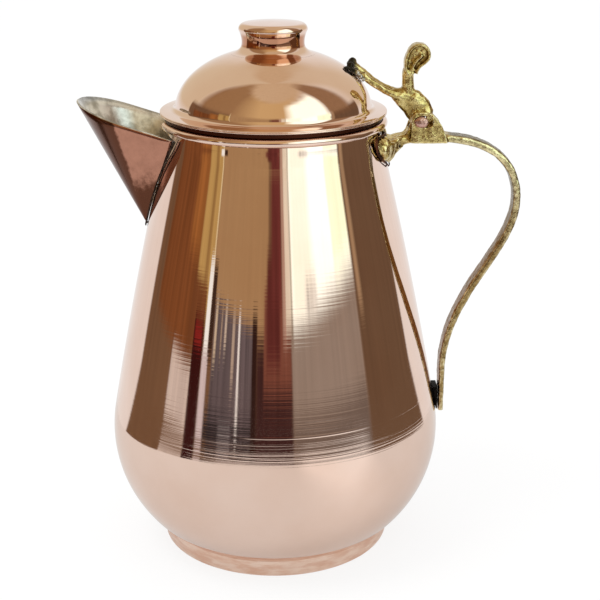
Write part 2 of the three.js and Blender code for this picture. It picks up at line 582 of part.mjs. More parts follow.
function hingePin() {
  const head = (side) => {
    const dome = new THREE.SphereGeometry(1, 16, 8).scale(PIN_HEAD_LONG, PIN_HEAD_THICK, PIN_HEAD_HIGH);
    const flat = block([0, 0, 0], [1, 1, 1]).scale([10, 2, 10]).translate([-5, side > 0 ? -2 : 0, -5]);
    return toSolid(dome).subtract(flat).translate([PIN_X, side * (LUG_OUT + GAP), PIN_Z]);
  };
  return crossPin(PIN_R, 2 * (LUG_OUT + GAP) + 0.4).add(head(-1)).add(head(1));
}

// Lid lever: two ridges run side by side from the dome and join in the body over the knuckle.
// Each station is a share of the way from the arm's foot to the pin, and then, as multiples of one size,
// a lift over the straight line between them, the half thickness and the half width.
const ARM_FOOT_Z = domeHeight(ARM_FOOT_X) + ARM_FOOT_RISE;

function leverStations(stations, size, y, lift = 0) {
  const mix = THREE.MathUtils.lerp;
  return stations.map(([share, up, thick, width]) => [
    mix(ARM_FOOT_X, PIN_X, share), mix(ARM_FOOT_Z, PIN_Z, share) + (up + lift) * size,
    thick * size, width * size, y,
  ]);
}

function leverBody(grow = 0) {
  const full = LEVER_WIDTH / 2 / KNUCKLE_R;
  const arm = [
    [0, 0.05, 0.7, 0.75], [0.04, 0, 1, 1], [0.2, 0.05, 0.95, 1], [0.33, 0, 0.9, 0.9], [0.47, 0.3, 0.9, 0.9],
    [0.57, 0.8, 0.95, 0.95], [0.7, 1.6, 1.15, 0.95], [0.8, 2, 1.05, 0.8],
  ];
  const body = [
    [0.58, 0.35, 0.37, 0.45], [0.7, 0.57, 0.78, 0.59], [0.86, 0.86, 1.16, 0.59], [0.957, 0.65, 1.22, full],
    [0.99, 0.39, 1.18, full], [1, 0, 1, full],
  ];
  const toe = [
    [-0.5, 0, 0.7, 1], [-0.3, 0, 1, 0.8], [0.5, -0.3, 1, 0.3], [1.2, -0.7, 0.95, 0],
  ].map(([along, up, thick, aside]) => [
    ARM_FOOT_X + TOE_LENGTH * along, domeHeight(ARM_FOOT_X) + TOE_LENGTH * up, ARM_ROD * thick,
    ARM_ROD * thick, -ARM_SPREAD - TOE_LENGTH * aside,
  ]);
  return bar(leverStations(body, KNUCKLE_R, 0), 0.7, grow)
    .add(bar(leverStations(arm, ARM_ROD, ARM_SPREAD, 0.2), 0.8, grow))
    .add(bar(leverStations(arm.slice(2), ARM_ROD, -ARM_SPREAD, -0.15), 0.8, grow))
    .add(bar(toe, 0.8, grow));
}

// The thumb piece's stem: each station is a share of the way up from the pin to the scroll's eye, and
// then, as multiples of the scroll's size, the distance outwards from the eye and the half sizes.
const STEM = [
  [0.317, -0.85, 0.6, 0.57], [0.54, -0.96, 0.57, 0.57], [0.69, -0.98, 0.55, 0.6], [0.84, -0.85, 0.6, 0.68],
];
// The scroll's outline round its eye, in X and Z, as multiples of its size.
const SCROLL = [
  [-1.51, -1.23], [-1.4, -0.49], [-1.15, 0.28], [-0.77, 0.79], [-0.23, 1], [0.34, 0.91], [0.79, 0.55],
  [0.96, 0.06], [0.81, -0.36], [0.36, -0.66], [-0.06, -0.96], [-0.36, -1.43],
];

function thumbPiece() {
  const eyeX = PIN_X - THUMB_IN;
  const eyeZ = PIN_Z + THUMB_RISE;
  const stem = bar(STEM.map(([share, out, thick, width]) => [
    eyeX + THUMB_SIZE * out, PIN_Z + THUMB_RISE * share, THUMB_SIZE * thick, THUMB_SIZE * width,
  ]), 0.7);
  const round = new THREE.CatmullRomCurve3(
    SCROLL.map(([x, z]) => new THREE.Vector3(THUMB_SIZE * x, 0, THUMB_SIZE * z)), true);
  const outline = round.getPoints(2 * SCROLL.length).slice(1);
  const layer = (y, inset) => outline.map(({ x, z }) => {
    const inward = new THREE.Vector2(-x, -z).setLength(inset);
    return new THREE.Vector3(eyeX + x + inward.x, y, eyeZ + z + inward.y);
  });
  const full = THUMB_HALF_WIDTH - THUMB_ROUNDING;
  const head = lofted([
    layer(-THUMB_HALF_WIDTH, THUMB_ROUNDING), layer(-full, 0), layer(full, 0),
    layer(THUMB_HALF_WIDTH, THUMB_ROUNDING),
  ]);
  const drum = (radius, depth, side) => toSolid(
    new THREE.CylinderGeometry(radius, radius, 2 * depth, 14).translate(eyeX, side * THUMB_HALF_WIDTH, eyeZ));
  const hollow = (side) => drum(THUMB_HOLLOW_R, THUMB_HOLLOW_DEPTH, side)
    .subtract(drum(THUMB_BOSS_R, THUMB_HOLLOW_DEPTH + 1, side));
  return head.subtract(hollow(-1)).subtract(hollow(1)).add(stem);
}

function lidLever() {
  const knuckle = crossPin(KNUCKLE_R, LEVER_WIDTH, 0, 24);
  return leverBody().add(thumbPiece()).add(knuckle).subtract(crossPin(BORE_R, LEVER_WIDTH + 2))
    .subtract(lidFilled(GAP));
}

function leverSolder() {
  const middle = ARM_FOOT_X + ARM_SOLDER_OUT;
  const round = new THREE.SphereGeometry(1, 16, 10).scale(...ARM_SOLDER);
  const blob = toSolid(round.rotateY(radians(ARM_SOLDER_TILT)));
  return blob.translate([middle, 0, domeHeight(middle)]).subtract(leverBody(GAP)).subtract(lidFilled(GAP));
}

// Finishes
function finish(color, roughness, metalness = 1) {
  return new THREE.MeshStandardMaterial({ color, roughness, metalness });
}
const POLISHED_COPPER = finish(0xd9a284, 0.12);
const SATIN_COPPER = finish(0xdcae93, 0.32);
const PIN_COPPER = finish(0xc98d78, 0.4);
const CAST_BRASS = finish(0x9a8546, 0.35);
const TIN_SOLDER = finish(0xb9b6ae, 0.4);
const DARK_SOLDER = finish(0x2c2622, 0.6, 0.6);
const STEEL_WIRE = finish(0x8d8d8f, 0.4);

const group = new THREE.Group();
function place(name, solid, material) {
  const mesh = new THREE.Mesh(toGeometry(solid), material);
  mesh.name = name;
  group.add(mesh);
}

place("foot_dish", footDish(), SATIN_COPPER);
place("foot_solder", baseSolder(), TIN_SOLDER);
const rimMouth = block([-2 * NECK_R, -RIM_MOUTH, SPOUT_APEX_Z], [-NECK_R / 2, RIM_MOUTH, SPOUT_TIP_Z]);
const wallMouth = spoutCone(-SPOUT_WALL, 0).add(rimMouth.intersect(spoutCone(-SPOUT_WALL, BEYOND)));
place("body_shell", bodyShell().subtract(wallMouth), POLISHED_COPPER);
place("rim_wire", ring(RIM_R, NECK_TOP_Z, RIM_WIRE, 6).subtract(rimMouth), STEEL_WIRE);
place("spout", spoutShell(), POLISHED_COPPER);
place("spout_solder", spoutSolder(), TIN_SOLDER);
place("handle", handle(), CAST_BRASS);
place("handle_pad_solder", upperSolder(), TIN_SOLDER);
place("handle_foot_solder", lowerSolder(), DARK_SOLDER);
place("hinge_pin", hingePin(), PIN_COPPER);
place("lid_shell", lidShell(), POLISHED_COPPER);
place("lid_collar", lidCollar(), POLISHED_COPPER);
place("collar_solder", collarSolder(), TIN_SOLDER);
place("lid_knob", lidKnob(), POLISHED_COPPER);
place("knob_solder", knobSolder(), TIN_SOLDER);
place("lid_lever", lidLever(), CAST_BRASS);
place("lever_solder", leverSolder(), TIN_SOLDER);

export default group;
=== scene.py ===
# %% [markdown]
# # A copper milk jug
# The jug is a body of thin copper sheet with an open beak spout, a domed lid on a hinge and two brass
# castings, a handle and a thumb lever. The CAD model is the fixed frame: every size, joint and place comes
# from there. This script lays surfaces as smooth as the real metal over it and gives each one its finish.

# %% Load the frame
from math import acos, asin, atan2, comb, copysign, cos, degrees, hypot, pi, radians, sin, sqrt

import bmesh
import bpy
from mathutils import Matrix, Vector, noise


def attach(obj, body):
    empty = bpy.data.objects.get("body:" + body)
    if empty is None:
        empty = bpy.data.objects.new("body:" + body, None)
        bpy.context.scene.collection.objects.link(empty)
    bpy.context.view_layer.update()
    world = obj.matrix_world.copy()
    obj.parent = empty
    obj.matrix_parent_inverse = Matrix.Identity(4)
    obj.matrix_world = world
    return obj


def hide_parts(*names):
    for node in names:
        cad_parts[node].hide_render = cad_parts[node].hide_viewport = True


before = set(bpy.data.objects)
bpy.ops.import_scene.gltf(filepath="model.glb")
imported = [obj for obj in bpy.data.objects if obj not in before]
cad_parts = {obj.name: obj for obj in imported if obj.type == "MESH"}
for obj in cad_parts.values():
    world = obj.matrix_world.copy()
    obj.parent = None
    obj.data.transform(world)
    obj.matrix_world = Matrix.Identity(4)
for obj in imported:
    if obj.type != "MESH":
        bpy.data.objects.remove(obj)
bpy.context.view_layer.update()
MM = 0.001
scene = bpy.context.scene
scene.view_settings.view_transform = "Standard"

# %% [markdown]
# ## The camera
# A long lens a little above the jug keeps its sides nearly parallel, and shows the top of the lid as an
# ellipse. The camera is set by its place, its tilt and its lens, so every other view can reuse it.

# %% Place the camera
CAMERA_PLACE = (0.0, -0.5548, 0.2928)
CAMERA_TILT = radians(18.70)
CAMERA_TURN = radians(-1.11)

lens = bpy.data.cameras.new("camera")
lens.sensor_width = 36
lens.lens = 82.67
camera = bpy.data.objects.new("camera", lens)
camera.location = CAMERA_PLACE
camera.rotation_euler = (pi / 2 - CAMERA_TILT, 0, CAMERA_TURN)
scene.collection.objects.link(camera)
scene.camera = camera
print("camera looks down", round(degrees(CAMERA_TILT), 1), "degrees")

# %% [markdown]
# ## Shader sums as Python
# A finish is a sum of patterns, such as a base roughness plus a share of a noise. Wiring each Math node by
# hand hides that sum, so a small class wraps a socket and lets the sum be written as Python writes it.


# %% A socket that can be added and multiplied
def operator(operation, swapped=False):
    def method(self, other):
        values = (other, self) if swapped else (self, other)
        return self.nodes.add("ShaderNodeMath", dict(enumerate(values)), operation=operation)
    return method


class Socket:
    """One output of a node, which can stand in a sum."""

    def __init__(self, nodes, output):
        self.nodes = nodes
        self.output = output

    __add__ = __radd__ = operator("ADD")
    __mul__ = __rmul__ = operator("MULTIPLY")
    __sub__ = operator("SUBTRACT")
    __rsub__ = operator("SUBTRACT", swapped=True)


# %% The nodes of the world or of a material
class Nodes:
    def __init__(self, owner):
        owner.use_nodes = True
        self.tree = owner.node_tree
        self.tree.nodes.clear()

    def add(self, kind, inputs=(), output=0, **settings):
        """Adds a node: its settings first, then the values or links of its sockets."""
        node = self.tree.nodes.new(kind)
        for key, value in settings.items():
            setattr(node, key, value)
        for key, value in dict(inputs).items():
            if isinstance(value, Socket):
                self.tree.links.new(value.output, node.inputs[key])
            else:
                node.inputs[key].default_value = value
        return Socket(self, node.outputs[output]) if len(node.outputs) else node


# %% A finish
class Finish(Nodes):
    """One material. Its places and depths are in metres."""

    def __init__(self, name):
        self.material = bpy.data.materials.new(name)
        super().__init__(self.material)
        self.place = self.add("ShaderNodeTexCoord", output="Object")

    def along(self, axis):
        return self.add("ShaderNodeSeparateXYZ", {0: self.place}, output=axis)

    def noise(self, grain, detail=3.0, roughness=0.5):
        """Grain says how often the noise repeats in a metre of X, Y and Z."""
        vector = self.add("ShaderNodeVectorMath", {0: self.place, 1: grain}, operation="MULTIPLY")
        sockets = {"Vector": vector, "Scale": 1.0, "Detail": detail, "Roughness": roughness}
        return self.add("ShaderNodeTexNoise", sockets)

    def ramp(self, value, low, high):
        """0 below low and 1 above high, smooth between them."""
        sockets = {"Value": value, "From Min": low, "From Max": high}
        return self.add("ShaderNodeMapRange", sockets, interpolation_type="SMOOTHSTEP")

    def band(self, value, rise, fall):
        """Up to 1 over the range rise, and back to 0 over the range fall."""
        return self.ramp(value, *rise) - self.ramp(value, *fall)

    def blend(self, share, first, second):
        sockets = {0: share, 6: first, 7: second}
        return self.add("ShaderNodeMix", sockets, output=2, data_type="RGBA")

    def bump(self, pattern, depth):
        """A normal that leans as if the pattern stood this depth proud."""
        return self.add("ShaderNodeBump", {"Strength": 1.0, "Distance": depth, "Height": pattern})

    def metal(self, colour, roughness, normal=None):
        """Ends the material in a metal surface."""
        sockets = {"Base Color": colour, "Roughness": roughness, "Metallic": 1.0}
        if normal is not None:
            sockets["Normal"] = normal
        return self.end(self.add("ShaderNodeBsdfPrincipled", sockets))

    def end(self, shader):
        self.add("ShaderNodeOutputMaterial", {"Surface": shader})
        return self.material


# %% Colours as they look on a screen
def srgb(red, green, blue):
    """A screen colour, 0 to 255 each, as the linear colour that a shader works with."""
    shares = [c / 255 for c in (red, green, blue)]
    return (*[((s + 0.055) / 1.055) ** 2.4 if s > 0.04 else s / 12.92 for s in shares], 1.0)


COPPER = srgb(238, 211, 196)
print("copper mirrors these shares of red, green, blue:", [round(c, 2) for c in COPPER[:3]])

# %% [markdown]
# ## The studio
# A mirror shows its surroundings, so polished copper needs something to mirror: a pale floor, a white world
# and a painted tent. The tent's dark patches make the deep brown streaks, its bright ones the highlights.


# %% Helpers that turn a bmesh into an object
def new_object(name, bm, *materials):
    mesh = bpy.data.meshes.new(name)
    bm.to_mesh(mesh)
    bm.free()
    for material in materials:
        mesh.materials.append(material)
    made = bpy.data.objects.new(name, mesh)
    scene.collection.objects.link(made)
    return made


# %% Floor and backdrop
FLOOR_SIZE = 6.0
FLOOR_GREY = (srgb(166, 166, 165), srgb(122, 122, 122))  # as the jug sees it, and as the camera does
GLOW_SEEN = 0.82  # the floor's own light for the camera and for the jug, and a painted pool of light on the right
GLOW_MIRRORED = 0.41
GLOW_PAINTED_POOL = 0.21
PAINTED_POOL_SIDES = ((0.978, 0.208), (-0.375, -0.927))


def side_of(finish, x, y):
    """1 on the side of the vertical plane through the axis that the direction (x, y) points to."""
    sockets = {0: finish.place, 1: (x, y, 0)}
    across = finish.add("ShaderNodeVectorMath", sockets, "Value", operation="DOT_PRODUCT")
    return finish.ramp(across, -0.01, 0.09)


paper = Finish("studio floor")
seen = paper.add("ShaderNodeLightPath", output="Is Camera Ray")
matt = paper.add("ShaderNodeBsdfDiffuse", {"Color": paper.blend(seen, *FLOOR_GREY)})
# A painted pool of light: for the jug, the floor glows brighter between two planes on its right
painted_pool = side_of(paper, *PAINTED_POOL_SIDES[0]) * side_of(paper, *PAINTED_POOL_SIDES[1])
glow_strength = seen * GLOW_SEEN + (1.0 - seen) * (GLOW_MIRRORED + painted_pool * GLOW_PAINTED_POOL)
glow = paper.add("ShaderNodeEmission", {"Color": (1, 1, 1, 1), "Strength": glow_strength})
floor_bm = bmesh.new()
bmesh.ops.create_grid(floor_bm, x_segments=1, y_segments=1, size=FLOOR_SIZE / 2)
paper_shader = paper.add("ShaderNodeAddShader", {0: matt, 1: glow})
floor = new_object("studio_floor", floor_bm, paper.end(paper_shader))
print("floor", FLOOR_SIZE, "m square")

# %% World and lamp
WORLD_LIGHT = 0.95
SOFTBOX_PLACE = Vector((-0.45, -0.25, 0.95))
SOFTBOX_TARGET = Vector((0, 0, 0.08))
world = bpy.data.worlds.new("studio")
scene.world = world
sky = Nodes(world)
kinds = ("Is Camera Ray", "Is Glossy Ray", "Is Transmission Ray")
shown = sum(sky.add("ShaderNodeLightPath", output=kind) for kind in kinds)
strength = sky.add("ShaderNodeMapRange", {"Value": shown, "To Min": WORLD_LIGHT})
background = sky.add("ShaderNodeBackground", {"Color": (1, 1, 1, 1), "Strength": strength})
sky.add("ShaderNodeOutputWorld", {"Surface": background})

lamp_data = bpy.data.lights.new("softbox", "AREA")
lamp_data.shape, lamp_data.size, lamp_data.energy = "DISK", 0.5, 2.5
lamp = bpy.data.objects.new("softbox", lamp_data)
lamp.location = SOFTBOX_PLACE
lamp.rotation_euler = (SOFTBOX_TARGET - SOFTBOX_PLACE).to_track_quat("-Z", "Y").to_euler()
lamp.visible_glossy = False
scene.collection.objects.link(lamp)
print("world at", WORLD_LIGHT, "and one softbox of", lamp_data.energy, "W")

# %% [markdown]
# ## A painted tent
# Only mirror rays see the tent. It is one sheet, an oval wall that leans in to a dome, with a skirt on the
# floor round an oval of bare floor. It is painted like a backcloth, in soft patches one over the other: each
# has its turn from the front, its rise up the wall and the colour that it is to take in the copper.

# %% The tent's sheet
TENT_WIDE = 0.51
TENT_DEEP = 0.75
TENT_WALL = 0.15  # height where the wall starts to lean in
SKIRT_AHEAD = 0.28  # middle of the bare oval, in front of the jug
SKIRT_WIDE = 0.41
SKIRT_DEEP = 0.47
SKIRT_LEFT_IN = 0.15  # share that the rim comes nearer on the left
SKIRT_PLACE = (0.001, 0.02)  # its height, and the rise that it is painted for


def skirt_edge(angle):
    """How far the skirt's rim is from the jug's axis at this turn, in metres."""
    square = (sin(angle) / SKIRT_WIDE) ** 2 + (cos(angle) / SKIRT_DEEP) ** 2
    ahead = cos(angle) * SKIRT_AHEAD / SKIRT_DEEP ** 2
    out = (ahead + sqrt(ahead ** 2 + square * (1 - (SKIRT_AHEAD / SKIRT_DEEP) ** 2))) / square
    return out * (1 - SKIRT_LEFT_IN * max(-sin(angle), 0) ** 2)


def tent_point(turn, lean):
    """A place on the tent and its rise. Turn is in degrees; lean is -2 at the skirt's rim, -1 at the foot of
    the wall, 0 where the dome starts and 1 at its top."""
    angle = radians(turn)
    reach = 1 / hypot(sin(angle) / TENT_WIDE, cos(angle) / TENT_DEEP)
    if lean < -1:
        out = skirt_edge(angle)
        return Vector((out * sin(angle), -out * cos(angle), SKIRT_PLACE[0])), SKIRT_PLACE[1]
    tilt = max(lean, 0) ** 1.5 * pi / 2
    out = reach * cos(tilt)
    rise = min(1 + lean, 1) * TENT_WALL
    place = Vector((out * sin(angle), -out * cos(angle), rise + reach * sin(tilt)))
    return place, rise + reach * tilt


# %% The patches
# name: turn from, to and softness in degrees, rise from, to and softness in metres, colour, streaks
PATCHES = {
    "top": (-190, 190, 5, 0.74, 2, 0.16, (198, 158, 122), 0.05),
    "left haze": (-165, -94, 22, 0.2, 0.95, 0.1, (208, 174, 142), 0),
    "right haze": (104, 160, 26, 0.24, 0.95, 0.1, (208, 174, 144), 0),
    "high brown": (-97, 99, 12, 0.22, 0.72, 0.12, (140, 98, 66), 0.1),
    "low brown": (-112, 113, 2, -1, 0.35, 0.05, (112, 76, 52), 0.2),
    "bronze": (-102, -64, 2, 0.075, 0.27, 0.02, (118, 65, 34), 0.4),
    "bright bronze": (-76, -64, 3, 0.17, 0.3, 0.03, (146, 86, 42), 0.4),
    "gold": (-64.5, -50.5, 1.5, 0.13, 0.33, 0.03, (182, 138, 80), 0.25),
    "gold shade": (-58, -55, 1.5, 0.12, 0.32, 0.03, (146, 104, 58), 0.2),
    "tan": (-50, -5, 2, 0.158, 0.5, 0.012, (164, 121, 82), 0.06),
    "pale line": (-51, -50, 0.5, 0.16, 0.4, 0.02, (222, 188, 142), 0),
    "low dark": (-46, -15, 1, 0.005, 0.16, 0.01, (98, 80, 78), 0.5),
    "low black": (-49, -12, 1, 0.012, 0.045, 0.015, (44, 34, 33), 0.3),
    "fleck 1": (-45.3, -43.6, 0.6, 0.1, 0.158, 0.02, (204, 172, 142), 0.2),
    "fleck 2": (-40.5, -39.5, 0.6, 0.11, 0.155, 0.02, (168, 136, 112), 0.2),
    "fleck 3": (-37.5, -36, 0.6, 0.12, 0.16, 0.02, (196, 168, 146), 0.2),
    "fleck 4": (-31.5, -29.5, 0.6, 0.09, 0.16, 0.02, (168, 140, 120), 0.3),
    "fleck 5": (-27, -25.6, 0.4, 0.04, 0.165, 0.006, (222, 204, 192), 0.3),
    "fleck 6": (-38, -30, 2, 0.014, 0.03, 0.006, (150, 134, 130), 0.3),
    "dark gap": (-16.5, -13, 0.8, 0, 0.175, 0.008, (48, 26, 20), 0.3),
    "brown shade": (-67, -54, 1, 0.09, 0.16, 0.012, (112, 62, 34), 0.3),
    "dark red": (-62, -54, 0.7, -1, 0.125, 0.008, (54, 18, 15), 0.2),
    "red spot": (-61, -55, 1.5, 0.1, 0.12, 0.008, (130, 34, 28), 0),
    "pale grey": (-79.5, -62, 0.8, 0.01, 0.075, 0.012, (198, 170, 154), 0.25),
    "white bar": (-53, -49.8, 0.5, 0.1, 0.19, 0.01, (240, 226, 214), 0.1),
    "low pale bar": (-53.5, -49, 0.6, 0.012, 0.1, 0.01, (200, 174, 168), 0.3),
    "dark bar": (-49.4, -46.3, 0.5, 0.1, 0.19, 0.01, (58, 36, 26), 0.2),
    "low red": (-13, 12, 1.5, -1, 0.14, 0.02, (62, 34, 30), 0.4),
    "red": (-8, 12, 1.5, 0.09, 0.21, 0.03, (118, 66, 50), 0.3),
    "deep red": (-6, 4, 2, 0.12, 0.25, 0.03, (92, 40, 34), 0.3),
    "high red": (-2.5, 6, 2.5, 0.19, 0.42, 0.04, (104, 46, 40), 0.3),
    "red edge": (6, 9, 1, 0.15, 0.42, 0.03, (170, 128, 108), 0.4),
    "pale edge": (8.5, 12.6, 0.8, 0.16, 0.48, 0.03, (226, 200, 174), 0.2),
    "grey bar": (12.4, 13.8, 0.4, 0.14, 0.45, 0.03, (132, 108, 86), 0.1),
    "bright right": (13.8, 68, 0.8, 0.16, 0.66, 0.05, (290, 280, 262), 0.05),
    "warm right": (13.8, 31, 5, 0.17, 0.6, 0.03, (272, 256, 230), 0.04),
    "grey right": (24, 33, 3, 0.165, 0.2, 0.03, (226, 208, 192), 0.5),
    "yellow right": (50, 67, 2, 0.18, 0.34, 0.04, (268, 260, 218), 0.1),
    "low taupe": (12, 66, 1.5, 0.03, 0.15, 0.035, (146, 121, 105), 0.12),
    "lower taupe": (12, 66, 3, -1, 0.055, 0.03, (108, 86, 74), 0.12),
    "brown right": (66, 113, 2, -1, 0.26, 0.05, (104, 73, 52), 0.15),
    "light brown right": (68, 72, 1.5, 0.12, 0.4, 0.03, (160, 122, 90), 0.3),
    "glint": (18, 62, 6, -1, 0.01, 0.008, (196, 176, 164), 0.1),
    "upper left": (-94, 0, 16, 0.37, 0.84, 0.07, (152, 108, 72), 0.05),
    "upper middle": (-34, 30, 34, 0.36, 0.85, 0.07, (200, 154, 104), 0),
    "upper bright": (18, 66, 12, 0.33, 0.72, 0.07, (290, 276, 250), 0.02),
    "upper right": (66, 98, 8, 0.33, 0.82, 0.07, (146, 104, 74), 0.1),
}


def softly(value, low, high, soft):
    """1 between low and high, fading to 0 over a width of soft at both ends."""
    inside = min(value - low, high - value) / soft + 0.5
    return min(max(inside, 0), 1)


BARE_CLOTH = [0.9, 0.9, 0.9, 0.05]
BRIGHTEST = 2.2


def painted(turn, rise):
    """The tent's colour and streaks at one place: each patch over the ones before."""
    light = BARE_CLOTH
    for left, right, soft_turn, low, high, soft_rise, colour, streaks in PATCHES.values():
        share = softly(turn, left, right, soft_turn) * softly(rise, low, high, soft_rise)
        shade = [min(c / metal, BRIGHTEST) for c, metal in zip(srgb(*colour)[:3], COPPER)]
        light = [old * (1 - share) + new * share for old, new in zip(light, (*shade, streaks))]
    return light


# %% Bending and painting the sheet
def steps_between(*stops):
    """Values from stop to stop, each stop given with the step that leads on from it."""
    values = []
    for (start, step), (end, _) in zip(stops, stops[1:]):
        count = round((end - start) / step)
        values += [start + (end - start) * k / count for k in range(count)]
    return values + [stops[-1][0]]


tent_turns = steps_between((-180, 6), (-114, 1), (-68, 0.4), (16, 1), (76, 2), (120, 6), (180, 0))
tent_leans = steps_between((-2, 1), (-1, 0.04), (0, 0.02), (0.4, 0.04), (1, 0))
tent_bm = bmesh.new()
bmesh.ops.create_grid(tent_bm, x_segments=len(tent_turns) - 1, y_segments=len(tent_leans) - 1, size=0.5)
paint_layer = tent_bm.verts.layers.float_color.new("paint")
for vert in tent_bm.verts:
    turn = tent_turns[round((vert.co.x + 0.5) * (len(tent_turns) - 1))]
    lean = tent_leans[round((vert.co.y + 0.5) * (len(tent_leans) - 1))]
    vert.co, rise = tent_point(turn, lean)
    vert[paint_layer] = painted(turn, rise)

STREAK_GRAIN = (34, 34, 2.2)
STREAK_CONTRAST = 3.0
backcloth = Finish("studio tent")
grain = backcloth.noise(STREAK_GRAIN, detail=5, roughness=0.6)
coat = backcloth.add("ShaderNodeAttribute", attribute_name="paint")
streaks = backcloth.add("ShaderNodeAttribute", output="Alpha", attribute_name="paint")
light = 1.0 + (grain - 0.5) * streaks * STREAK_CONTRAST
cloth = backcloth.end(backcloth.add("ShaderNodeEmission", {"Color": coat, "Strength": light}))
tent = new_object("studio_tent", tent_bm, cloth)
tent.visible_camera = False
tent.visible_diffuse = False
tent.visible_shadow = False
print("tent:", len(PATCHES), "patches on", len(tent.data.vertices), "points")

# %% [markdown]
# ## Polished copper
# The jug was polished on a lathe. Its mirror is not perfect: fine rings run round it, strongest over the
# belly, and they break every reflection into short level lines. The rings are a noise that is stretched
# round the jug and squeezed along its height, and they lean the normal a very little.

# %% The jug's copper
RINGS_START = (0.056, 0.064)  # heights between which the rings set in, end, and end on the flank
RINGS_END = (0.078, 0.100)
FLANK_END = (0.110, 0.170)
# the heights of the knob's waist, darkened with painted shade under the knob's head
KNOB_WAIST_SHADE_BAND = ((0.2122, 0.2130), (0.2165, 0.2185))
CUT_HEIGHTS = (0.0708, 0.0712, 0.0733, 0.0739)
CUT_WIDTH = 0.0004
RING_GRAIN = (7, 7, 1400)
WORN_COPPER, WAIST_PAINTED_SHADE = srgb(233, 203, 186), srgb(196, 142, 112)

polished = Finish("polished copper")
height = polished.along("Z")
rings = polished.noise(RING_GRAIN, detail=2)
scuffs = polished.noise((60, 60, 300), detail=4)
ringed = polished.band(height, RINGS_START, RINGS_END)
flank = polished.ramp(height, *RINGS_START) - polished.ramp(height, *FLANK_END) * 0.75
patchy = polished.ramp(polished.noise((18, 18, 180), detail=2), 0.40, 0.62)
cuts = sum(polished.band(height, (at - CUT_WIDTH, at), (at, at + CUT_WIDTH)) for at in CUT_HEIGHTS) * patchy
tarnish = polished.noise((25, 25, 25), detail=5)
copper_tone = polished.blend(polished.ramp(tarnish, 0.35, 0.7), COPPER, WORN_COPPER)
# Painted shade: a darker copper round the knob's waist, under its head
copper_tone = polished.blend(polished.band(height, *KNOB_WAIST_SHADE_BAND), copper_tone, WAIST_PAINTED_SHADE)
POLISHED = polished.metal(
    copper_tone,
    0.02 + scuffs * 0.03 + ringed * rings * 0.06,
    polished.bump(rings * (flank * 0.40 + ringed * 0.45) + cuts * 0.4, 0.00003),
)
print("polished copper with", len(CUT_HEIGHTS), "cut lines")

# %% The other coppers
PALE_TRIANGLE_TOP_Z = 0.181  # the spout's pale triangle, a painted reflection: its upper end, its slope and its soft edges
PALE_TRIANGLE_SLOPE = 0.21
PALE_TRIANGLE_EDGE = (-0.0625, -0.0612)
PALE_TRIANGLE_FOOT = (0.154, 0.164)

# The spout's copper is painted: its dark tone stands in for dark reflections, and a pale triangle near the
# body for a pale reflection
spout_paint = Finish("spout copper, painted reflections")
spout_x = spout_paint.along("X")
spout_height = spout_paint.along("Z")
smear = spout_paint.noise((260, 260, 160), detail=5, roughness=0.65)
leaning_x = spout_x - (PALE_TRIANGLE_TOP_Z - spout_height) * PALE_TRIANGLE_SLOPE
pale_triangle = spout_paint.ramp(leaning_x + (smear - 0.5) * 0.004, *PALE_TRIANGLE_EDGE)
pale_triangle_low = spout_paint.ramp(spout_height + (smear - 0.5) * 0.02, *PALE_TRIANGLE_FOOT)
spout_painted_tone = spout_paint.blend(pale_triangle * pale_triangle_low * (0.55 + smear * 0.7), srgb(98, 60, 44), srgb(190, 136, 114))
SPOUT_COPPER = spout_paint.metal(spout_painted_tone, 0.12 + smear * 0.12)

# The collar's dark copper is painted shade, so the gap under the lid's flange reads dark; it is also rough,
# as unpolished copper
COLLAR_PAINTED_SHADE = Finish("collar copper, painted shade").metal(srgb(76, 40, 28), 0.4)

satin = Finish("satin copper")
cloudy = satin.noise((90, 90, 400), detail=5, roughness=0.6)
satin_rings = satin.noise((30, 30, 2200), detail=2)
satin_tone = satin.blend(satin.ramp(cloudy, 0.35, 0.65), srgb(252, 224, 206), srgb(236, 194, 170))
SATIN = satin.metal(satin_tone, 0.24 + cloudy * 0.2, satin.bump(satin_rings + cloudy, 0.00002))

dull = Finish("pin copper")
dents = dull.noise((900, 900, 900), detail=3)
dull_tone = dull.blend(dents, srgb(168, 122, 108), srgb(220, 184, 172))
PIN = dull.metal(dull_tone, 0.22 + dents * 0.15, dull.bump(dents, 0.00020))
print("the spout's, the collar's, the foot's and the pin's copper")

# %% [markdown]
# ## Tin, solder and wire
# Tin lines everything that the milk touches, and the same tin, mixed with lead, solders the joints. All of
# it is mottled, with bright and dull patches a few millimetres across, and some of the solder is nearly
# black.


# %% Tin, solders and steel
def grey_metal(name, light, dark, roughness, grain, depth):
    """A mottled metal between two tones, whose pattern repeats grain times in a metre."""
    grey = Finish(name)
    patches = grey.noise((grain, grain, grain), detail=6, roughness=0.6)
    tone = grey.blend(grey.ramp(patches, 0.38, 0.62), srgb(*dark), srgb(*light))
    return grey.metal(tone, roughness + patches * 0.25, grey.bump(patches, depth))


TINNED = grey_metal("tin lining", (240, 240, 238), (168, 166, 160), 0.22, 110, 0.0001)
SEAM = grey_metal("seam solder", (78, 62, 54), (44, 32, 26), 0.4, 300, 0.00005)
SOLDER = grey_metal("tin solder", (214, 210, 202), (138, 128, 116), 0.30, 500, 0.0002)
# The pad's solder is partly the joint's own dark tone and partly painted shade beside the pad
PAD_SOLDER_AND_SHADE = grey_metal("pad solder and painted shade", (118, 70, 50), (46, 26, 18), 0.45, 400, 0.0001)
BLACK_SOLDER = grey_metal("black solder", (34, 30, 28), (14, 12, 12), 0.5, 600, 0.0002)
STEEL = grey_metal("steel wire", (168, 168, 170), (112, 112, 114), 0.30, 700, 0.00005)
print("tin lining, four solders and steel")

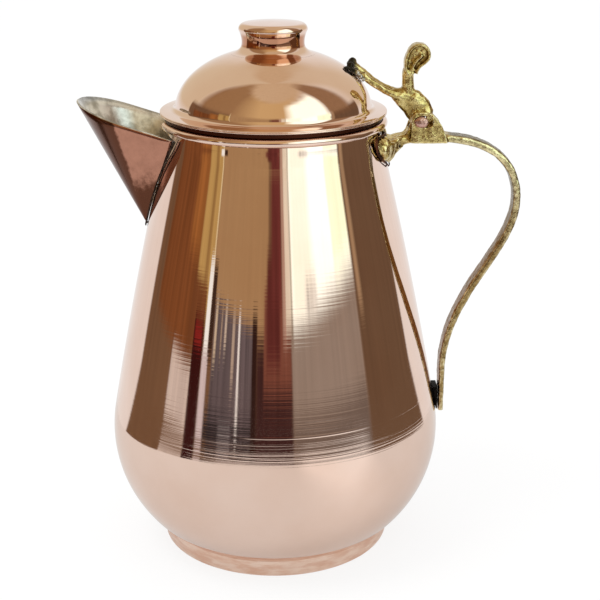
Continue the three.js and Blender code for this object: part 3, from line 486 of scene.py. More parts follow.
# %% [markdown]
# ## Cast brass
# The castings were filed, hammered and handled. High places are rubbed bright and hollows keep a dark
# olive tarnish, so the finish reads how sharply the surface bends, which Blender calls pointiness. A fine
# noise adds the grain of the sand that the brass was cast in.

# %% Brass
STRAP_FROM = (0.0695, 0.0730)  # X where the strap starts, and heights below which all is strap
STRAP_BELOW = (0.150, 0.160)
# the strap's brown low down is a painted reflection of the copper body, and its bright upper sides are a
# painted highlight
STRAP_HIGH = (0.120, 0.165)  # heights where it turns from brown to olive
STRAP_SIDE = (0.0037 ** 2, 0.0042 ** 2)  # squares of Y where its broad face ends
STRAP_SMUT = srgb(108, 86, 48)
OLIVE, GOLD, BRIGHT_EDGE = srgb(166, 140, 82), srgb(214, 194, 130), srgb(250, 240, 198)
HOLLOW_BROWN, SOOT = srgb(62, 42, 20), srgb(50, 46, 38)
SOOT_SOFT = 0.0012


def strap_painted_light_and_smut(brass, x, y, z, dents):
    """The strap's broad faces are dark, brown low down as a painted reflection of the copper body, and its
    narrow sides have a painted highlight above the hand.
    """
    high = brass.ramp(z, *STRAP_HIGH)
    face = brass.blend(high, srgb(134, 98, 58), srgb(98, 86, 50))
    side = brass.blend(high, srgb(160, 134, 84), srgb(226, 212, 162))
    tone = brass.blend(brass.ramp(y * y, *STRAP_SIDE), face, side)
    return brass.blend(brass.ramp(dents, 0.30, 0.60) * 0.6 + 0.4, STRAP_SMUT, tone)


def brass_finish(name, sooty_below=-1.0):
    """Cast brass, blackened by the solder's flame where X is less than sooty_below."""
    brass = Finish(name)
    bend = brass.add("ShaderNodeNewGeometry", output="Pointiness")
    sand = brass.noise((1000, 1000, 1000), detail=4, roughness=0.6)
    dents = brass.noise((300, 300, 300), detail=3)
    x, y, z = (brass.along(axis) for axis in "XYZ")
    worn = brass.ramp(bend + sand * 0.02 + dents * 0.05, 0.540, 0.590)
    cast = brass.blend(brass.ramp(dents, 0.30, 0.66), OLIVE, GOLD)
    off_strap = (1.0 - brass.ramp(x, *STRAP_FROM)) * brass.ramp(z, *STRAP_BELOW)
    # the strap takes its painted reflection and painted highlight, with random smut
    cast = brass.blend(off_strap, strap_painted_light_and_smut(brass, x, y, z, dents), cast)
    hollow = brass.ramp(bend + dents * 0.03, 0.455, 0.510)
    tone = brass.blend(hollow, HOLLOW_BROWN, brass.blend(worn, cast, BRIGHT_EDGE))
    soot = 1.0 - brass.ramp(x + (sand - 0.5) * 0.004, sooty_below - SOOT_SOFT, sooty_below + SOOT_SOFT)
    tone = brass.blend(soot, tone, SOOT)
    relief = sand * 0.25 + dents * 1.2
    return brass.metal(tone, 0.13 + sand * 0.16 + soot * 0.25, brass.bump(relief, 0.0005))


BRASS = brass_finish("cast brass")
LEVER_BRASS = brass_finish("cast brass, sooty foot", 0.0335)
print("brass from tarnish to rubbed edge")

# %% [markdown]
# ## Turned pieces
# The body, foot, lid and knob were spun on a lathe, so each is an outline turned round the jug's axis. The
# outline is drawn in millimetres as (radius, height), out of arcs and curves, and bmesh's spin turns it. Its
# corners stay sharp, because edges are marked by the angle between their faces.

# %% Outlines
SPIN_STEPS = 240
SMALL_STEPS = 160
SKIN_IN = 0.12  # how far the smooth surface lies inside the frame's corners, in mm


def arc(centre, radius, start, end, steps, high=None):
    """An arc of a circle, or of an ellipse where high is given."""
    angles = [start + (end - start) * k / steps for k in range(steps + 1)]
    return [(centre[0] + radius * cos(a), centre[1] + (high or radius) * sin(a)) for a in angles]


def curve(points, steps):
    """A curve from the first point to the last, which those between draw towards them."""
    n = len(points) - 1
    line = []
    for t in [k / steps for k in range(steps + 1)]:
        weights = [comb(n, k) * (1 - t) ** (n - k) * t ** k for k in range(n + 1)]
        line.append(tuple(sum(w * p[axis] for w, p in zip(weights, points)) for axis in (0, 1)))
    return line


# %% Turning an outline
SHARP = radians(35)


def mark_sharp(bm):
    """Smooth faces, with hard edges where two faces meet at a clear angle."""
    for face in bm.faces:
        face.smooth = True
    for edge in bm.edges:
        edge.smooth = len(edge.link_faces) == 2 and edge.calc_face_angle() < SHARP


def turn(outline, steps=SPIN_STEPS):
    """A closed outline of (radius, height) in mm, turned round the jug's axis to a closed bmesh."""
    bm = bmesh.new()
    verts = [bm.verts.new((radius * MM, 0, z * MM)) for radius, z in outline]
    on_axis = outline[0][0] == 0 and outline[-1][0] == 0
    pairs = zip(verts, verts[1:] if on_axis else verts[1:] + verts[:1])
    edges = [bm.edges.new(pair) for pair in pairs]
    bmesh.ops.spin(
        bm, geom=verts + edges, cent=(0, 0, 0), axis=(0, 0, 1), angle=2 * pi, steps=steps, use_merge=True
    )
    bmesh.ops.remove_doubles(bm, verts=bm.verts, dist=1e-7)
    bmesh.ops.dissolve_degenerate(bm, edges=bm.edges, dist=1e-8)
    bmesh.ops.recalc_face_normals(bm, faces=bm.faces)
    mark_sharp(bm)
    return bm


# %% Riding on the frame
def fit(made, body, slot, *nodes):
    """Ties the piece to its body and hides the CAD nodes that it stands for. The slot is not used."""
    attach(made, body)
    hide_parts(*nodes)
    print(made.name, len(made.data.polygons), "faces, stands for", ", ".join(nodes))


# %% [markdown]
# ## The body
# One sheet, 0.8 mm thick, runs from the foot over the belly and the long flank to the neck, where it is
# rolled outwards over a wire. Belly, flank and neck meet without a corner, because a corner would show at
# once as a kink in every reflection.

# %% The body's outline
SHEET = 0.8
GAP = 0.3
BELLY_CENTRE = (15 - SKIN_IN, 50)
BELLY_ARC = 55
FLANK_CORNER = (59.7 - SKIN_IN, 111)
NECK_R = 45 - SKIN_IN
NECK_CORNER = (NECK_R, 172)
NECK_ROUNDING = 9
NECK_CREASE = ((45.0, 172.1), (44.31, 174.98), (43.98, 178), (43.87, 179.01), (43.65, 180.4))
RIM_CENTRE = (44.85 - SKIN_IN, 182.2)
RIM_BEAD = 1.6
RIM_LIP_END = radians(-60 - 360)
FOOT_HEIGHT = 8
SKIRT_LOW_Z = 3.2
SKIRT_R = (49.4, 50.3)  # the foot's outside over the body's lower edge, at its foot and its top
OUTLINE_STEPS = 48


def body_outline(grow=0.0):
    """The body's outside in mm, from the foot's upper edge to the neck, moved out by grow."""
    to_corner = (FLANK_CORNER[0] - BELLY_CENTRE[0], FLANK_CORNER[1] - BELLY_CENTRE[1])
    lean = atan2(to_corner[1], to_corner[0]) - acos(BELLY_ARC / hypot(*to_corner))
    low = asin((FOOT_HEIGHT + GAP - BELLY_CENTRE[1]) / BELLY_ARC)
    belly_line = arc(BELLY_CENTRE, BELLY_ARC + grow, low, lean, OUTLINE_STEPS)
    slope = (FLANK_CORNER[0] - NECK_CORNER[0], FLANK_CORNER[1] - NECK_CORNER[1])
    share = NECK_ROUNDING / hypot(*slope)
    neck_start = (NECK_CORNER[0] + slope[0] * share + grow, NECK_CORNER[1] + slope[1] * share)
    flank_line = curve(
        (belly_line[-1], (FLANK_CORNER[0] + grow, FLANK_CORNER[1]), neck_start), OUTLINE_STEPS)
    crease = [(radius - SKIN_IN + grow, z) for radius, z in NECK_CREASE]
    return belly_line + flank_line[1:] + curve(crease[:3], 8) + curve(crease[2:], 8)[1:]


def body_radius(z):
    """The body's outside radius in mm at height z."""
    line = body_outline()
    for (low_r, low_z), (high_r, high_z) in zip(line, line[1:]):
        if low_z <= z <= high_z:
            return low_r + (high_r - low_r) * (z - low_z) / (high_z - low_z)
    return NECK_R


# %% The body's outline with its rolled rim
def shell_outline():
    inner = RIM_BEAD - SHEET
    hollow_line = arc(RIM_CENTRE, inner, -pi, RIM_LIP_END, 20)
    roll_line = arc(RIM_CENTRE, RIM_BEAD, RIM_LIP_END, -pi, 28)
    skirt_top = FOOT_HEIGHT + GAP
    foot_wall = SKIRT_R[1] - SHEET - GAP - SKIN_IN
    skirt_low = SKIRT_R[0] - SHEET - GAP - SKIN_IN
    skirt = [(skirt_low, SKIRT_LOW_Z), (foot_wall, skirt_top)]
    inside_skirt = [(foot_wall - SHEET, skirt_top + SHEET), (skirt_low - SHEET, SKIRT_LOW_Z)]
    inside = body_outline(-SHEET)[::-1]
    return skirt + body_outline() + hollow_line + roll_line + inside + inside_skirt


body_bm = turn(shell_outline())
print("body turned:", len(body_bm.faces), "faces")

# %% [markdown]
# ## The mouth of the spout
# A wedge-shaped mouth is cut through the wall behind the spout, and the rolled rim stops on both sides of
# it. The spout is a half cone, so the cutter is the same half cone, less the sheet: the lip's outline with
# its sides drawn together to one point. A Boolean modifier takes it out.

# %% The lip's outline and the half cone under it
SPOUT_APEX = Vector((-52.9, 0, 139))
SPOUT_REACH = 79.5 - SKIN_IN
SPOUT_TIP_Z = 191 - SKIN_IN
SPOUT_LIP_DROP = 0.318
SPOUT_HALF_WIDTH = 22 - SKIN_IN
SPOUT_NOSE = 20.5
SPOUT_WALL = 0.92
SPOUT_APEX_UP = 1.8  # the cutter's apex lies this much over the spout's
RIM_MOUTH = 11.5  # half the gap in the rim
RIM_CUT = [(-60, 178.5), (-30, 178.5), (-30, 190), (-60, 190)]  # and what is cut there, as (X, Z)


def lip_outline(back, steps, grow=0.0):
    """The lip in mm, from its far end at x = back, round the nose, to its near end."""
    nose_x = -SPOUT_REACH + SPOUT_NOSE
    width = SPOUT_HALF_WIDTH + grow
    far = [(back + (nose_x - back) * k / steps, width) for k in range(steps)]
    nose = arc((nose_x, 0), -(SPOUT_NOSE + grow), pi / 2, -pi / 2, 4 * steps, width)
    near = [(x, -y) for x, y in far[::-1]]
    return [Vector((x, y, SPOUT_TIP_Z - SPOUT_LIP_DROP * (x + SPOUT_REACH))) for x, y in far + nose + near]


# %% Cutting the mouth
def extruded(bm, outline):
    """A face through points in metres, and the points of a second one grown from it in the same place."""
    face = bm.faces.new([bm.verts.new(point) for point in outline])
    grown = bmesh.ops.extrude_face_region(bm, geom=[face])
    return [item for item in grown["geom"] if isinstance(item, bmesh.types.BMVert)]


def slab(bm, outline, half_width):
    """A plate with this outline in the X-Z plane and 2 half_width across it, all in mm."""
    far = extruded(bm, [Vector((x, -half_width, z)) * MM for x, z in outline])
    bmesh.ops.translate(bm, verts=far, vec=(0, 2 * half_width * MM, 0))
    bmesh.ops.recalc_face_normals(bm, faces=bm.faces)


def spout_cutter():
    """A solid half cone inside the spout."""
    bm = bmesh.new()
    below = extruded(bm, [point * MM for point in lip_outline(-NECK_R / 2, 8, -SPOUT_WALL)])
    apex = (SPOUT_APEX + Vector((0, 0, SPOUT_APEX_UP))) * MM
    bmesh.ops.pointmerge(bm, verts=below, merge_co=apex)
    bmesh.ops.dissolve_degenerate(bm, edges=bm.edges, dist=1e-8)
    bmesh.ops.recalc_face_normals(bm, faces=bm.faces)
    return bm


def modify(made, kind, **settings):
    """Gives the object a modifier with these settings."""
    modifier = made.modifiers.new(kind.lower(), kind)
    for name, value in settings.items():
        setattr(modifier, name, value)


def bake(made):
    """Applies the object's modifiers to its mesh."""
    seen_by = bpy.context.evaluated_depsgraph_get()
    made.data = bpy.data.meshes.new_from_object(made.evaluated_get(seen_by))
    made.modifiers.clear()


def carve(made, cutter_bm):
    """Takes the cutter out of the object's mesh."""
    cutter = new_object("cutter", cutter_bm)
    modify(made, "BOOLEAN", operation="DIFFERENCE", solver="EXACT", object=cutter)
    bake(made)
    bpy.data.objects.remove(cutter)


def edit(made, change):
    """Runs a change, which takes a bmesh, on the object's mesh."""
    bm = bmesh.new()
    bm.from_mesh(made.data)
    change(bm)
    bm.to_mesh(made.data)
    bm.free()


# %% The body as an object
body = new_object("body_copper", body_bm, POLISHED, TINNED)
carve(body, spout_cutter())
rim_cutter = bmesh.new()
slab(rim_cutter, RIM_CUT, RIM_MOUTH)
carve(body, rim_cutter)
for face in body.data.polygons:
    outwards = Vector((face.center.x, face.center.y, 0)).normalized()
    lining = face.normal.dot(outwards) < -0.2 and face.center.z < NECK_CREASE[-1][1] * MM
    face.material_index = 1 if lining else 0
edit(body, mark_sharp)
fit(body, "jug", "polished_copper", "body_shell")

# %% [markdown]
# ## The spout
# The spout is one piece of sheet bent round a half cone. Its surface is ruled: each line runs straight
# from where the sheet meets the body up to the lip. So two open lines of points are bridged, the bridge
# is divided, and a Solidify modifier gives the sheet its thickness, with tin on the inner side.


# %% Where the spout meets the body
def seam_point(lip_point):
    """Where the line from the lip down to the apex meets the body, in mm."""
    inside, outside = 0.0, 1.0
    for _ in range(24):
        middle = (inside + outside) / 2
        point = SPOUT_APEX.lerp(lip_point, middle)
        free = hypot(point.x, point.y) > body_radius(point.z) + GAP
        inside, outside = (inside, middle) if free else (middle, outside)
    return SPOUT_APEX.lerp(lip_point, outside)


lip_end_x = -sqrt((NECK_R + 2 * GAP) ** 2 - SPOUT_HALF_WIDTH ** 2)
lip_line = lip_outline(lip_end_x, 16)
seam_line = [seam_point(point) for point in lip_line]
print("spout seam runs down to", round(min(point.z for point in seam_line), 1), "mm")


# %% The sheet between seam and lip
def chain(bm, points):
    """An open line of edges through points given in mm."""
    verts = [bm.verts.new(point * MM) for point in points]
    return [bm.edges.new(pair) for pair in zip(verts, verts[1:])]


spout_bm = bmesh.new()
rails = chain(spout_bm, seam_line) + chain(spout_bm, lip_line)
bridge = bmesh.ops.bridge_loops(spout_bm, edges=rails)
bmesh.ops.subdivide_edges(spout_bm, edges=bridge["edges"], cuts=14, use_grid_fill=True)
bmesh.ops.remove_doubles(spout_bm, verts=spout_bm.verts, dist=1e-6)
bmesh.ops.recalc_face_normals(spout_bm, faces=spout_bm.faces)
nose_face = min(spout_bm.faces, key=lambda face: face.calc_center_median().x)
if nose_face.normal.x > 0:
    bmesh.ops.reverse_faces(spout_bm, faces=spout_bm.faces)
for face in spout_bm.faces:
    face.smooth = True
spout = new_object("spout_copper", spout_bm, SPOUT_COPPER, TINNED)
tin_inside = {"material_offset": 1, "material_offset_rim": 1}
modify(spout, "SOLIDIFY", thickness=SHEET * MM, offset=-1, use_even_offset=True, **tin_inside)
fit(spout, "jug", "polished_copper", "spout")

# %% [markdown]
# ## The foot
# The foot is a shallow pressed dish. Its wall leans out a little, its rim and its lower edge are rounded,
# and the jug stands on a narrow ring at its outside.

# %% The foot's outline
FOOT_R = 48.8 - SKIN_IN
FOOT_TOP_R = 50.3 - SKIN_IN
FOOT_RING = 45.8
FOOT_FLOOR = (44.6, 1.2)


def foot_outline():
    lower = curve([(FOOT_RING + 1.6, 0), (FOOT_R, 0), (FOOT_R + 0.25, 1.4)], 8)
    upper = curve([(FOOT_TOP_R - 0.1, 7.4), (FOOT_TOP_R, FOOT_HEIGHT), (FOOT_TOP_R - 0.4, FOOT_HEIGHT)], 6)
    inner = [(FOOT_TOP_R - SHEET, FOOT_HEIGHT - 0.2), (FOOT_R - 0.5, 1.8), (FOOT_R - 1.4, SHEET)]
    floor_line = [(FOOT_RING + 0.4, SHEET), (FOOT_FLOOR[0] + 0.4, FOOT_FLOOR[1] + SHEET)]
    under = [(0, FOOT_FLOOR[1]), FOOT_FLOOR, (FOOT_RING, 0)]
    return under + lower + upper + inner + floor_line + [(0, FOOT_FLOOR[1] + SHEET)]


fit(new_object("foot_copper", turn(foot_outline()), SATIN), "jug", "satin_copper", "foot_dish")

# %% [markdown]
# ## The lid
# Dome and flange are one spun sheet. The dome is half an ellipse that flows into the flange through a
# small hollow curve, and the flange's edge is folded under, which shows as a fine double line.

# %% The lid's outline
DOME_R = 40 - SKIN_IN
DOME_RISE = 25.1 - SKIN_IN
DOME_BASE_Z = 187
FLANGE_R = 46.2 - SKIN_IN
FLANGE_UNDER_Z = 185.8
FLANGE_TOP_Z = 187
FLANGE_RISE = 0.6
FLANGE_IN = 3.2  # how far the flange is folded in under itself
FOLD_R = 0.32  # the two rounded edges, under and over the middle, that the fold shows
FOLD_APART = (-0.28, 0.28)
DOME_STEPS = 60


def dome_line(grow, start):
    line = arc((0, DOME_BASE_Z), DOME_R + grow, start, pi / 2, DOME_STEPS, DOME_RISE + grow)
    return line[:-1] + [(0, line[-1][1])]


def lid_outline():
    crown = dome_line(-SHEET, 0.03)[::-1]
    outside = dome_line(0, 0.10)
    rise_z = FLANGE_TOP_Z + FLANGE_RISE
    middle_z = (FLANGE_UNDER_Z + FLANGE_TOP_Z) / 2
    fold, edge = (
        arc((FLANGE_R - 0.35, middle_z + apart), FOLD_R, -pi / 2, pi / 2, 8) for apart in FOLD_APART
    )
    hollow_curve = curve([(DOME_R + 2.2, rise_z - 0.12), (DOME_R + 0.1, rise_z), outside[0]], 8)
    inner_r = FLANGE_R - FLANGE_IN
    under = [(DOME_R - SHEET, rise_z - SHEET), (inner_r, FLANGE_TOP_Z - 0.4), (inner_r, FLANGE_UNDER_Z)]
    return crown + under + fold + edge + hollow_curve + outside[1:]


lid_bm = turn(lid_outline())
for face in lid_bm.faces:
    centre = face.calc_center_median()
    face.material_index = 1 if face.normal.z < -0.05 and centre.xy.length < 0.0390 else 0
fit(new_object("lid_copper", lid_bm, POLISHED, TINNED), "lid", "polished_copper", "lid_shell")

# %% The collar that drops into the neck
COLLAR_R = 42.65
COLLAR_LOW_Z = 176.8
COLLAR_SIT_Z = 184.1
COLLAR_TOP_Z = 185.5
SHOULDER_R = 44.5


def collar_outline():
    inner = COLLAR_R - SHEET
    lower = [(inner, COLLAR_LOW_Z + 0.2), (inner + 0.2, COLLAR_LOW_Z), (COLLAR_R - 0.2, COLLAR_LOW_Z)]
    outer = [(COLLAR_R, COLLAR_LOW_Z + 0.2), (COLLAR_R, COLLAR_SIT_Z)]
    return lower + outer + [(SHOULDER_R, COLLAR_SIT_Z), (SHOULDER_R, COLLAR_TOP_Z), (inner, COLLAR_TOP_Z)]


collar = new_object("lid_collar_copper", turn(collar_outline(), SMALL_STEPS), COLLAR_PAINTED_SHADE)
fit(collar, "lid", "polished_copper", "lid_collar")

# %% [markdown]
# ## The knob
# The knob is a hollow spun cup upside down: a flare that stands on the dome, a waist, and a head with a
# round edge and a nearly flat top.

# %% The knob's outline
KNOB_FOOT_R = 17
KNOB_WAIST = (12.6, 213.4)
KNOB_HEAD_R = 14 - SKIN_IN
KNOB_EDGE = 2.6
KNOB_TOP_Z = 222.6 - SKIN_IN


def dome_height(radius):
    return DOME_BASE_Z + DOME_RISE * sqrt(1 - (radius / DOME_R) ** 2)


def knob_outline():
    foot_z = dome_height(KNOB_FOOT_R) + 0.02
    head_z = KNOB_TOP_Z - 0.8 - KNOB_EDGE
    flare = curve([(KNOB_FOOT_R, foot_z), (KNOB_WAIST[0] + 0.3, foot_z + 1.0), KNOB_WAIST], 14)
    side = curve([KNOB_WAIST, (12.4, 216.2), (KNOB_HEAD_R, head_z)], 12)
    edge = arc((KNOB_HEAD_R - KNOB_EDGE, head_z), KNOB_EDGE, 0, radians(86), 12)
    top = curve([edge[-1], (5, KNOB_TOP_Z), (0, KNOB_TOP_Z)], 8)
    inner_r = KNOB_WAIST[0] - SHEET
    inside = [(0, KNOB_TOP_Z - 2 * SHEET), (inner_r - 1, KNOB_TOP_Z - 2 * SHEET), (inner_r, head_z)]
    return top[::-1] + edge[::-1][1:] + side[::-1][1:] + flare[::-1][1:] + [
        (inner_r, dome_height(inner_r) + GAP)] + inside[::-1]


knob = new_object("knob_copper", turn(knob_outline(), SMALL_STEPS), POLISHED)
fit(knob, "lid", "polished_copper", "lid_knob")

# %% [markdown]
# ## Castings
# Brass castings are soft forms without one flat face. Each starts from its CAD solid, merged to one skin
# and remeshed into small even squares. Smoothing rounds the facets away, and a noise moves the points in
# and out, as filing and hammering left the real surface.


# %% Cutting and adding
def merged_copy(node):
    bm = bmesh.new()
    bm.from_mesh(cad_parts[node].data)
    bmesh.ops.remove_doubles(bm, verts=bm.verts, dist=1e-6)
    return bm


def cut_off(bm, items, place, normal):
    """Takes away what lies beyond a plane, whose place is given in metres, and closes the cut."""
    bmesh.ops.bisect_plane(bm, geom=items, plane_co=place, plane_no=normal, clear_outer=True)
    close_up(bm)


def close_up(bm):
    bmesh.ops.holes_fill(bm, edges=[edge for edge in bm.edges if edge.is_boundary], sides=0)


def everything(bm):
    return bm.verts[:] + bm.edges[:] + bm.faces[:]


def add_lumps(bm, lumps):
    """Adds balls, given by place and three radii in mm, which melt in when the solid is remeshed."""
    for place, radii in lumps:
        ball = bmesh.ops.create_icosphere(bm, subdivisions=3, radius=MM)
        for vert in ball["verts"]:
            vert.co = Vector(c * r for c, r in zip(vert.co, radii)) + Vector(place) * MM


# %% Recasting a solid as a soft form
def recast(name, bm, voxel, rounds, *materials):
    """The solid remeshed into squares of voxel mm and smoothed rounds times."""
    made = new_object(name, bm, *materials)
    modify(made, "REMESH", mode="VOXEL", voxel_size=voxel * MM)
    bake(made)
    soften(made, rounds, lambda place: True)
    return made


def soften(made, rounds, chosen):
    """Smooths the points whose place, in mm, is chosen."""
    def smooth(bm):
        verts = [vert for vert in bm.verts if chosen(vert.co / MM)]
        for _ in range(rounds):
            bmesh.ops.smooth_vert(bm, verts=verts, factor=0.5, **{"use_axis_" + axis: True for axis in "xyz"})
        for face in bm.faces:
            face.smooth = True
    edit(made, smooth)


def press(made, pattern):
    """Moves each point along its normal by the pattern's value at its place, both in mm."""
    moved = [vert.co + vert.normal * pattern(vert.co / MM) * MM for vert in made.data.vertices]
    for vert, place in zip(made.data.vertices, moved):
        vert.co = place


def dented(place, size, depth):
    """Dents about size mm across, down to depth mm and never outwards."""
    return -depth * (0.5 + 0.5 * noise.noise(place / size))


# %% [markdown]
# ## The handle
# The pad and the hinge lugs come from the CAD solid. The strap is long and thin, and its curve would keep
# the solid's facets, so it is swept anew: a ring with rounded corners is extruded from place to place
# along the strap's line. Remeshing both together joins them into one casting.

# %% The strap's line
# Each curve by its start, two control points and its end, as (X, Z) in mm
STRAP_BEND = [(66.0, 175.3), (85.5, 175.3), (100.45, 167.8), (100.45, 149)]
STRAP_FALL = [(100.45, 149), (100.45, 127.1), (71.7, 107.8), (71.7, 74)]
STRAP_END_Z = 55.3
STRAP_THICK = (3.8, 2.7)
STRAP_WIDTH = (10, 8.6)
low_x, low_z = STRAP_FALL[-1]
tail = [(low_x, low_z + (STRAP_END_Z - low_z) * k / 12) for k in range(1, 13)]
strap_line = [Vector(point) for point in curve(STRAP_BEND, 48) + curve(STRAP_FALL, 56)[1:] + tail]
print("strap line of", len(strap_line), "places")

# %% The strap's ring, swept along its line
RING_POINTS = 32
RING_SQUARE = 0.45  # 1 makes the section round, 0 square


def rounded_ring(line, index, thick, wide):
    """A section with rounded corners at one place of a line in the X-Z plane, as points in metres."""
    along = (line[min(index + 1, len(line) - 1)] - line[max(index - 1, 0)]).normalized()
    place = line[index]
    ring = []
    for k in range(RING_POINTS):
        angle = 2 * pi * (k + 0.5) / RING_POINTS
        up = copysign(abs(sin(angle)) ** RING_SQUARE, sin(angle)) * thick
        side = copysign(abs(cos(angle)) ** RING_SQUARE, cos(angle)) * wide
        ring.append(Vector((place.x - along.y * up, side, place.y + along.x * up)) * MM)
    return ring


def strap_ring(index):
    """The strap's section: it thins out along its fall and is narrowest in the middle."""
    share = index / (len(strap_line) - 1)
    thin = max(2 * share - 1, 0) ** 2
    thick = (STRAP_THICK[0] * (1 - thin) + STRAP_THICK[1] * thin) / 2
    wide = (STRAP_WIDTH[0] + (STRAP_WIDTH[1] - STRAP_WIDTH[0]) * sin(pi * share)) / 2
    return rounded_ring(strap_line, index, thick, wide)


def sweep(bm, rings):
    """A closed bar through the rings: one end face, extruded from each ring to the next."""
    cap = bm.faces.new([bm.verts.new(point) for point in rings[0]])
    for ring in rings[1:]:
        cap = bmesh.ops.extrude_discrete_faces(bm, faces=[cap])["faces"][0]
        for vert, point in zip(cap.verts, ring):
            vert.co = point
    close_up(bm)
    bmesh.ops.recalc_face_normals(bm, faces=bm.faces)


# %% Pad and lugs from the frame, the strap swept
STRAP_CUT = 69.2  # the frame's solid is kept as far out as this, in mm
PAD_CHEEKS = [((44.2, y, 173.2), (3.4, 6.4, 5.4)) for y in (-12.5, 12.5)]
handle_bm = merged_copy("handle")
cut_off(handle_bm, everything(handle_bm), (STRAP_CUT * MM, 0, 0), (1, 0, 0))
sweep(handle_bm, [strap_ring(index) for index in range(len(strap_line))])
add_lumps(handle_bm, PAD_CHEEKS)
handle = recast("handle_brass", handle_bm, 0.4, 2, BRASS)

# %% Lugs that lean, and a pad clear of the body
# X and height between which the lugs' edges start to shift along X, and the shift, in mm
LUG_SHIFTS = [
    ((64.1, 68.1), (179, 174), 1.6), ((64.1, 68.1), (179, 185), -2.6),
    ((55.6, 52.6), (179, 174), -1.6), ((55.6, 52.6), (179, 185), 0.6),
]
LUG_ENDS = ((72, 70), (50, 53))  # X where all shifts fade out, at the strap and at the pad
LUG_LOW_Z = 172
LUG_SIDE = 8
SOFT_FROM_Z = 160
PAD_TOP_Z = 180
PAD_CLEAR = 0.6  # least distance from the body to the pad's free edge


def fade(value, start, end):
    """0 up to start and 1 from end, straight between them."""
    return max(0.0, min(1.0, (value - start) / (end - start)))


for vert in handle.data.vertices:
    at = vert.co / MM
    if at.z > LUG_LOW_Z and abs(at.y) < LUG_SIDE:
        shift = sum(full * fade(at.x, *xs) * fade(at.z, *zs) for xs, zs, full in LUG_SHIFTS)
        vert.co.x += shift * MM * fade(at.x, *LUG_ENDS[0]) * fade(at.x, *LUG_ENDS[1])
soften(handle, 5, lambda place: place.x < LUG_ENDS[0][0] and place.z > SOFT_FROM_Z)
for vert in handle.data.vertices:
    at = vert.co / MM
    free = body_radius(at.z) + PAD_CLEAR
    if at.z < PAD_TOP_Z and at.xy.length < free and at.x < LUG_ENDS[1][0]:
        vert.co = Vector((*(at.xy.normalized() * free), at.z)) * MM

# %% Flutes on the pad and hammer marks everywhere
FLUTE_DEPTH = 0.16
FLUTE_WIDTH = 2.6
FLUTES_END_X = 56


def handle_marks(place):
    flutes = 0.0
    if place.x < FLUTES_END_X and place.z > SOFT_FROM_Z:
        round_neck = atan2(place.y, place.x) * 45
        flutes = FLUTE_DEPTH * cos(round_neck * 2 * pi / FLUTE_WIDTH) - FLUTE_DEPTH
    return flutes + dented(place, 1.6, 0.22) + dented(place + Vector((7, 3, 1)), 4.5, 0.25)


press(handle, handle_marks)
fit(handle, "jug", "cast_brass", "handle")

# %% [markdown]
# ## The lid's lever
# The arm and the knuckle come from the CAD solid. The thumb piece above them is a curled leaf: a thick rim
# round a sunk web, and a tongue inside it that ends in a small boss. They are swept or extruded round the
# curl's eye, and melt into one casting when they are remeshed.

# %% The thumb piece
CURL_EYE = (58.9, 209.3)
CURL_SIZE = 4.7
CURL_CUT_Z = 203.2  # the frame's own thumb piece goes above this height
RIM_PATH = [
    (-1.02, -1.75), (-1.22, -1.2), (-1.17, -0.5), (-0.93, 0.2), (-0.58, 0.62), (-0.14, 0.78), (0.3, 0.7),
    (0.62, 0.42), (0.76, 0.02), (0.72, -0.4), (0.44, -0.74), (0.06, -1.02), (-0.2, -1.4), (-0.34, -1.8)]
TONGUE_PATH = [(-0.72, -1.75), (-0.66, -1.2), (-0.46, -0.75), (-0.20, -0.45), (0.04, -0.24), (0.22, -0.02)]
WEB = [
    (-1.2, -1.6), (-1.1, -0.4), (-0.85, 0.25), (-0.5, 0.6), (0, 0.72), (0.5, 0.5), (0.7, 0.05), (0.66, -0.4),
    (0.4, -0.7), (0, -1), (-0.25, -1.4), (-0.35, -1.7)]
RIM_SECTION = (0.85, 3.4)  # half the thickness and half the width, in mm
TONGUE_SECTION = (0.95, 2.9)
WEB_HALF_WIDTH = 1.9
CURL_CUT_X = 46  # the arm in front of this keeps its full height
ARM_LOBES = [((31.0, -1.8, 204.8), [1.8] * 3), ((31.9, 1.9, 205.7), [2.0] * 3)]


def curl_point(point):
    return Vector((CURL_EYE[0] + CURL_SIZE * point[0], CURL_EYE[1] + CURL_SIZE * point[1]))


def curl_bar(path, half_thick, half_width):
    """Rings for a bar along a path in the X-Z plane, with its half thickness and half width in mm."""
    line = [curl_point(point) for point in path]
    fine = []
    for a, b, c, d in zip([line[0], *line], line, line[1:], [*line[2:], line[-1]]):
        for t in (0, 0.25, 0.5, 0.75):
            bend = (2 * a - 5 * b + 4 * c - d) * t ** 2 + (3 * b - a - 3 * c + d) * t ** 3
            fine.append(0.5 * (2 * b + (c - a) * t + bend))
    return [rounded_ring(fine, index, half_thick, half_width) for index in range(len(fine))]


def middle_x(item):
    verts = [item] if isinstance(item, bmesh.types.BMVert) else item.verts
    return sum(vert.co.x for vert in verts) / len(verts)


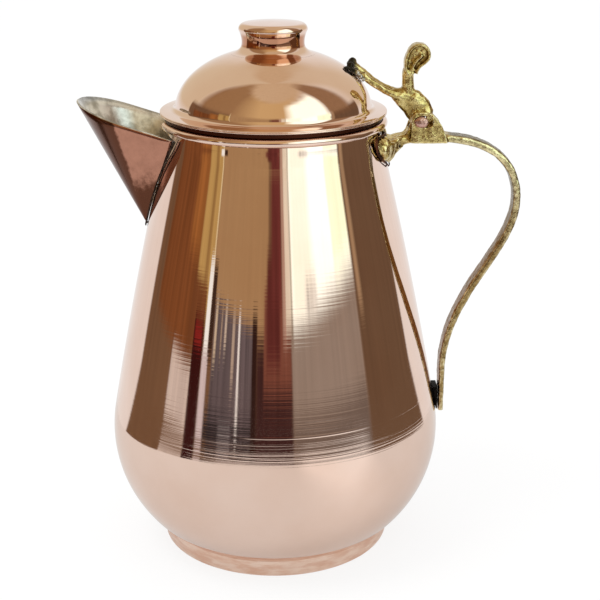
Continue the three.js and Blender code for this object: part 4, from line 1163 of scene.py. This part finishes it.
# %% The lever in one piece
lever_bm = merged_copy("lid_lever")
stem = [item for item in everything(lever_bm) if CURL_CUT_X < middle_x(item) / MM]
cut_off(lever_bm, stem, (0, 0, CURL_CUT_Z * MM), (0, 0, 1))
sweep(lever_bm, curl_bar(RIM_PATH, *RIM_SECTION))
sweep(lever_bm, curl_bar(TONGUE_PATH, *TONGUE_SECTION))
add_lumps(lever_bm, ARM_LOBES)
slab(lever_bm, [curl_point(point) for point in WEB], WEB_HALF_WIDTH)
lever = recast("lid_lever_brass", lever_bm, 0.28, 4, LEVER_BRASS)
press(lever, lambda place: dented(place, 1.3, 0.25) + dented(place + Vector((5, 1, 9)), 3.2, 0.25))
fit(lever, "lid", "cast_brass", "lid_lever")

# %% Hinge pin and solders
SOLDER_LUMPS = [
    ((33.6, -3.4, 201.9), [1.25] * 3), ((35.0, -3.6, 200.6), [1.15] * 3), ((36.2, -3.3, 199.4), [0.9] * 3)]
PIN_HEAD_FROM = 6.6  # from this Y outwards the heads, a little narrower than the frame's
PIN_LEFT = 56.5
PIN_HEAD_SHARE = 0.87
for node, body_name, slot, material in (
    ("spout_solder", "jug", "tin_solder", SEAM),
    ("handle_pad_solder", "jug", "tin_solder", PAD_SOLDER_AND_SHADE),
    ("lever_solder", "lid", "tin_solder", SOLDER),
    ("hinge_pin", "jug", "pin_copper", PIN),
):
    solid = merged_copy(node)
    if node == "lever_solder":
        add_lumps(solid, SOLDER_LUMPS)
    if node == "hinge_pin":
        for vert in solid.verts:
            if abs(vert.co.y) > PIN_HEAD_FROM * MM:
                vert.co.x = (PIN_LEFT + (vert.co.x / MM - PIN_LEFT) * PIN_HEAD_SHARE) * MM
    made = recast(node + "_soft", solid, 0.2, 2, material)
    press(made, lambda place: dented(place, 1.1, 0.16))
    fit(made, body_name, slot, node)

# %% The solder wedge between strap and belly
WEDGE_Z = [56.2 + 1.25 * step for step in range(9)]
WEDGE_OUT_X = 70.15
WEDGE_HALF_WIDTH = 4.2
wedge_side = [(WEDGE_OUT_X, WEDGE_Z[-1]), (WEDGE_OUT_X, WEDGE_Z[0])]
wedge_side += [(body_radius(z) + SKIN_IN, z) for z in WEDGE_Z]
wedge_bm = bmesh.new()
slab(wedge_bm, wedge_side, WEDGE_HALF_WIDTH)
fit(recast("strap_wedge", wedge_bm, 0.15, 1, BLACK_SOLDER), "jug", "dark_solder", "handle_foot_solder")

# %% The small hidden pieces
for node in ("foot_solder", "collar_solder", "knob_solder", "rim_wire"):
    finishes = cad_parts[node].data.materials
    finishes.clear()
    finishes.append(STEEL if node == "rim_wire" else SOLDER)
    print(node, "shows the frame's own mesh")
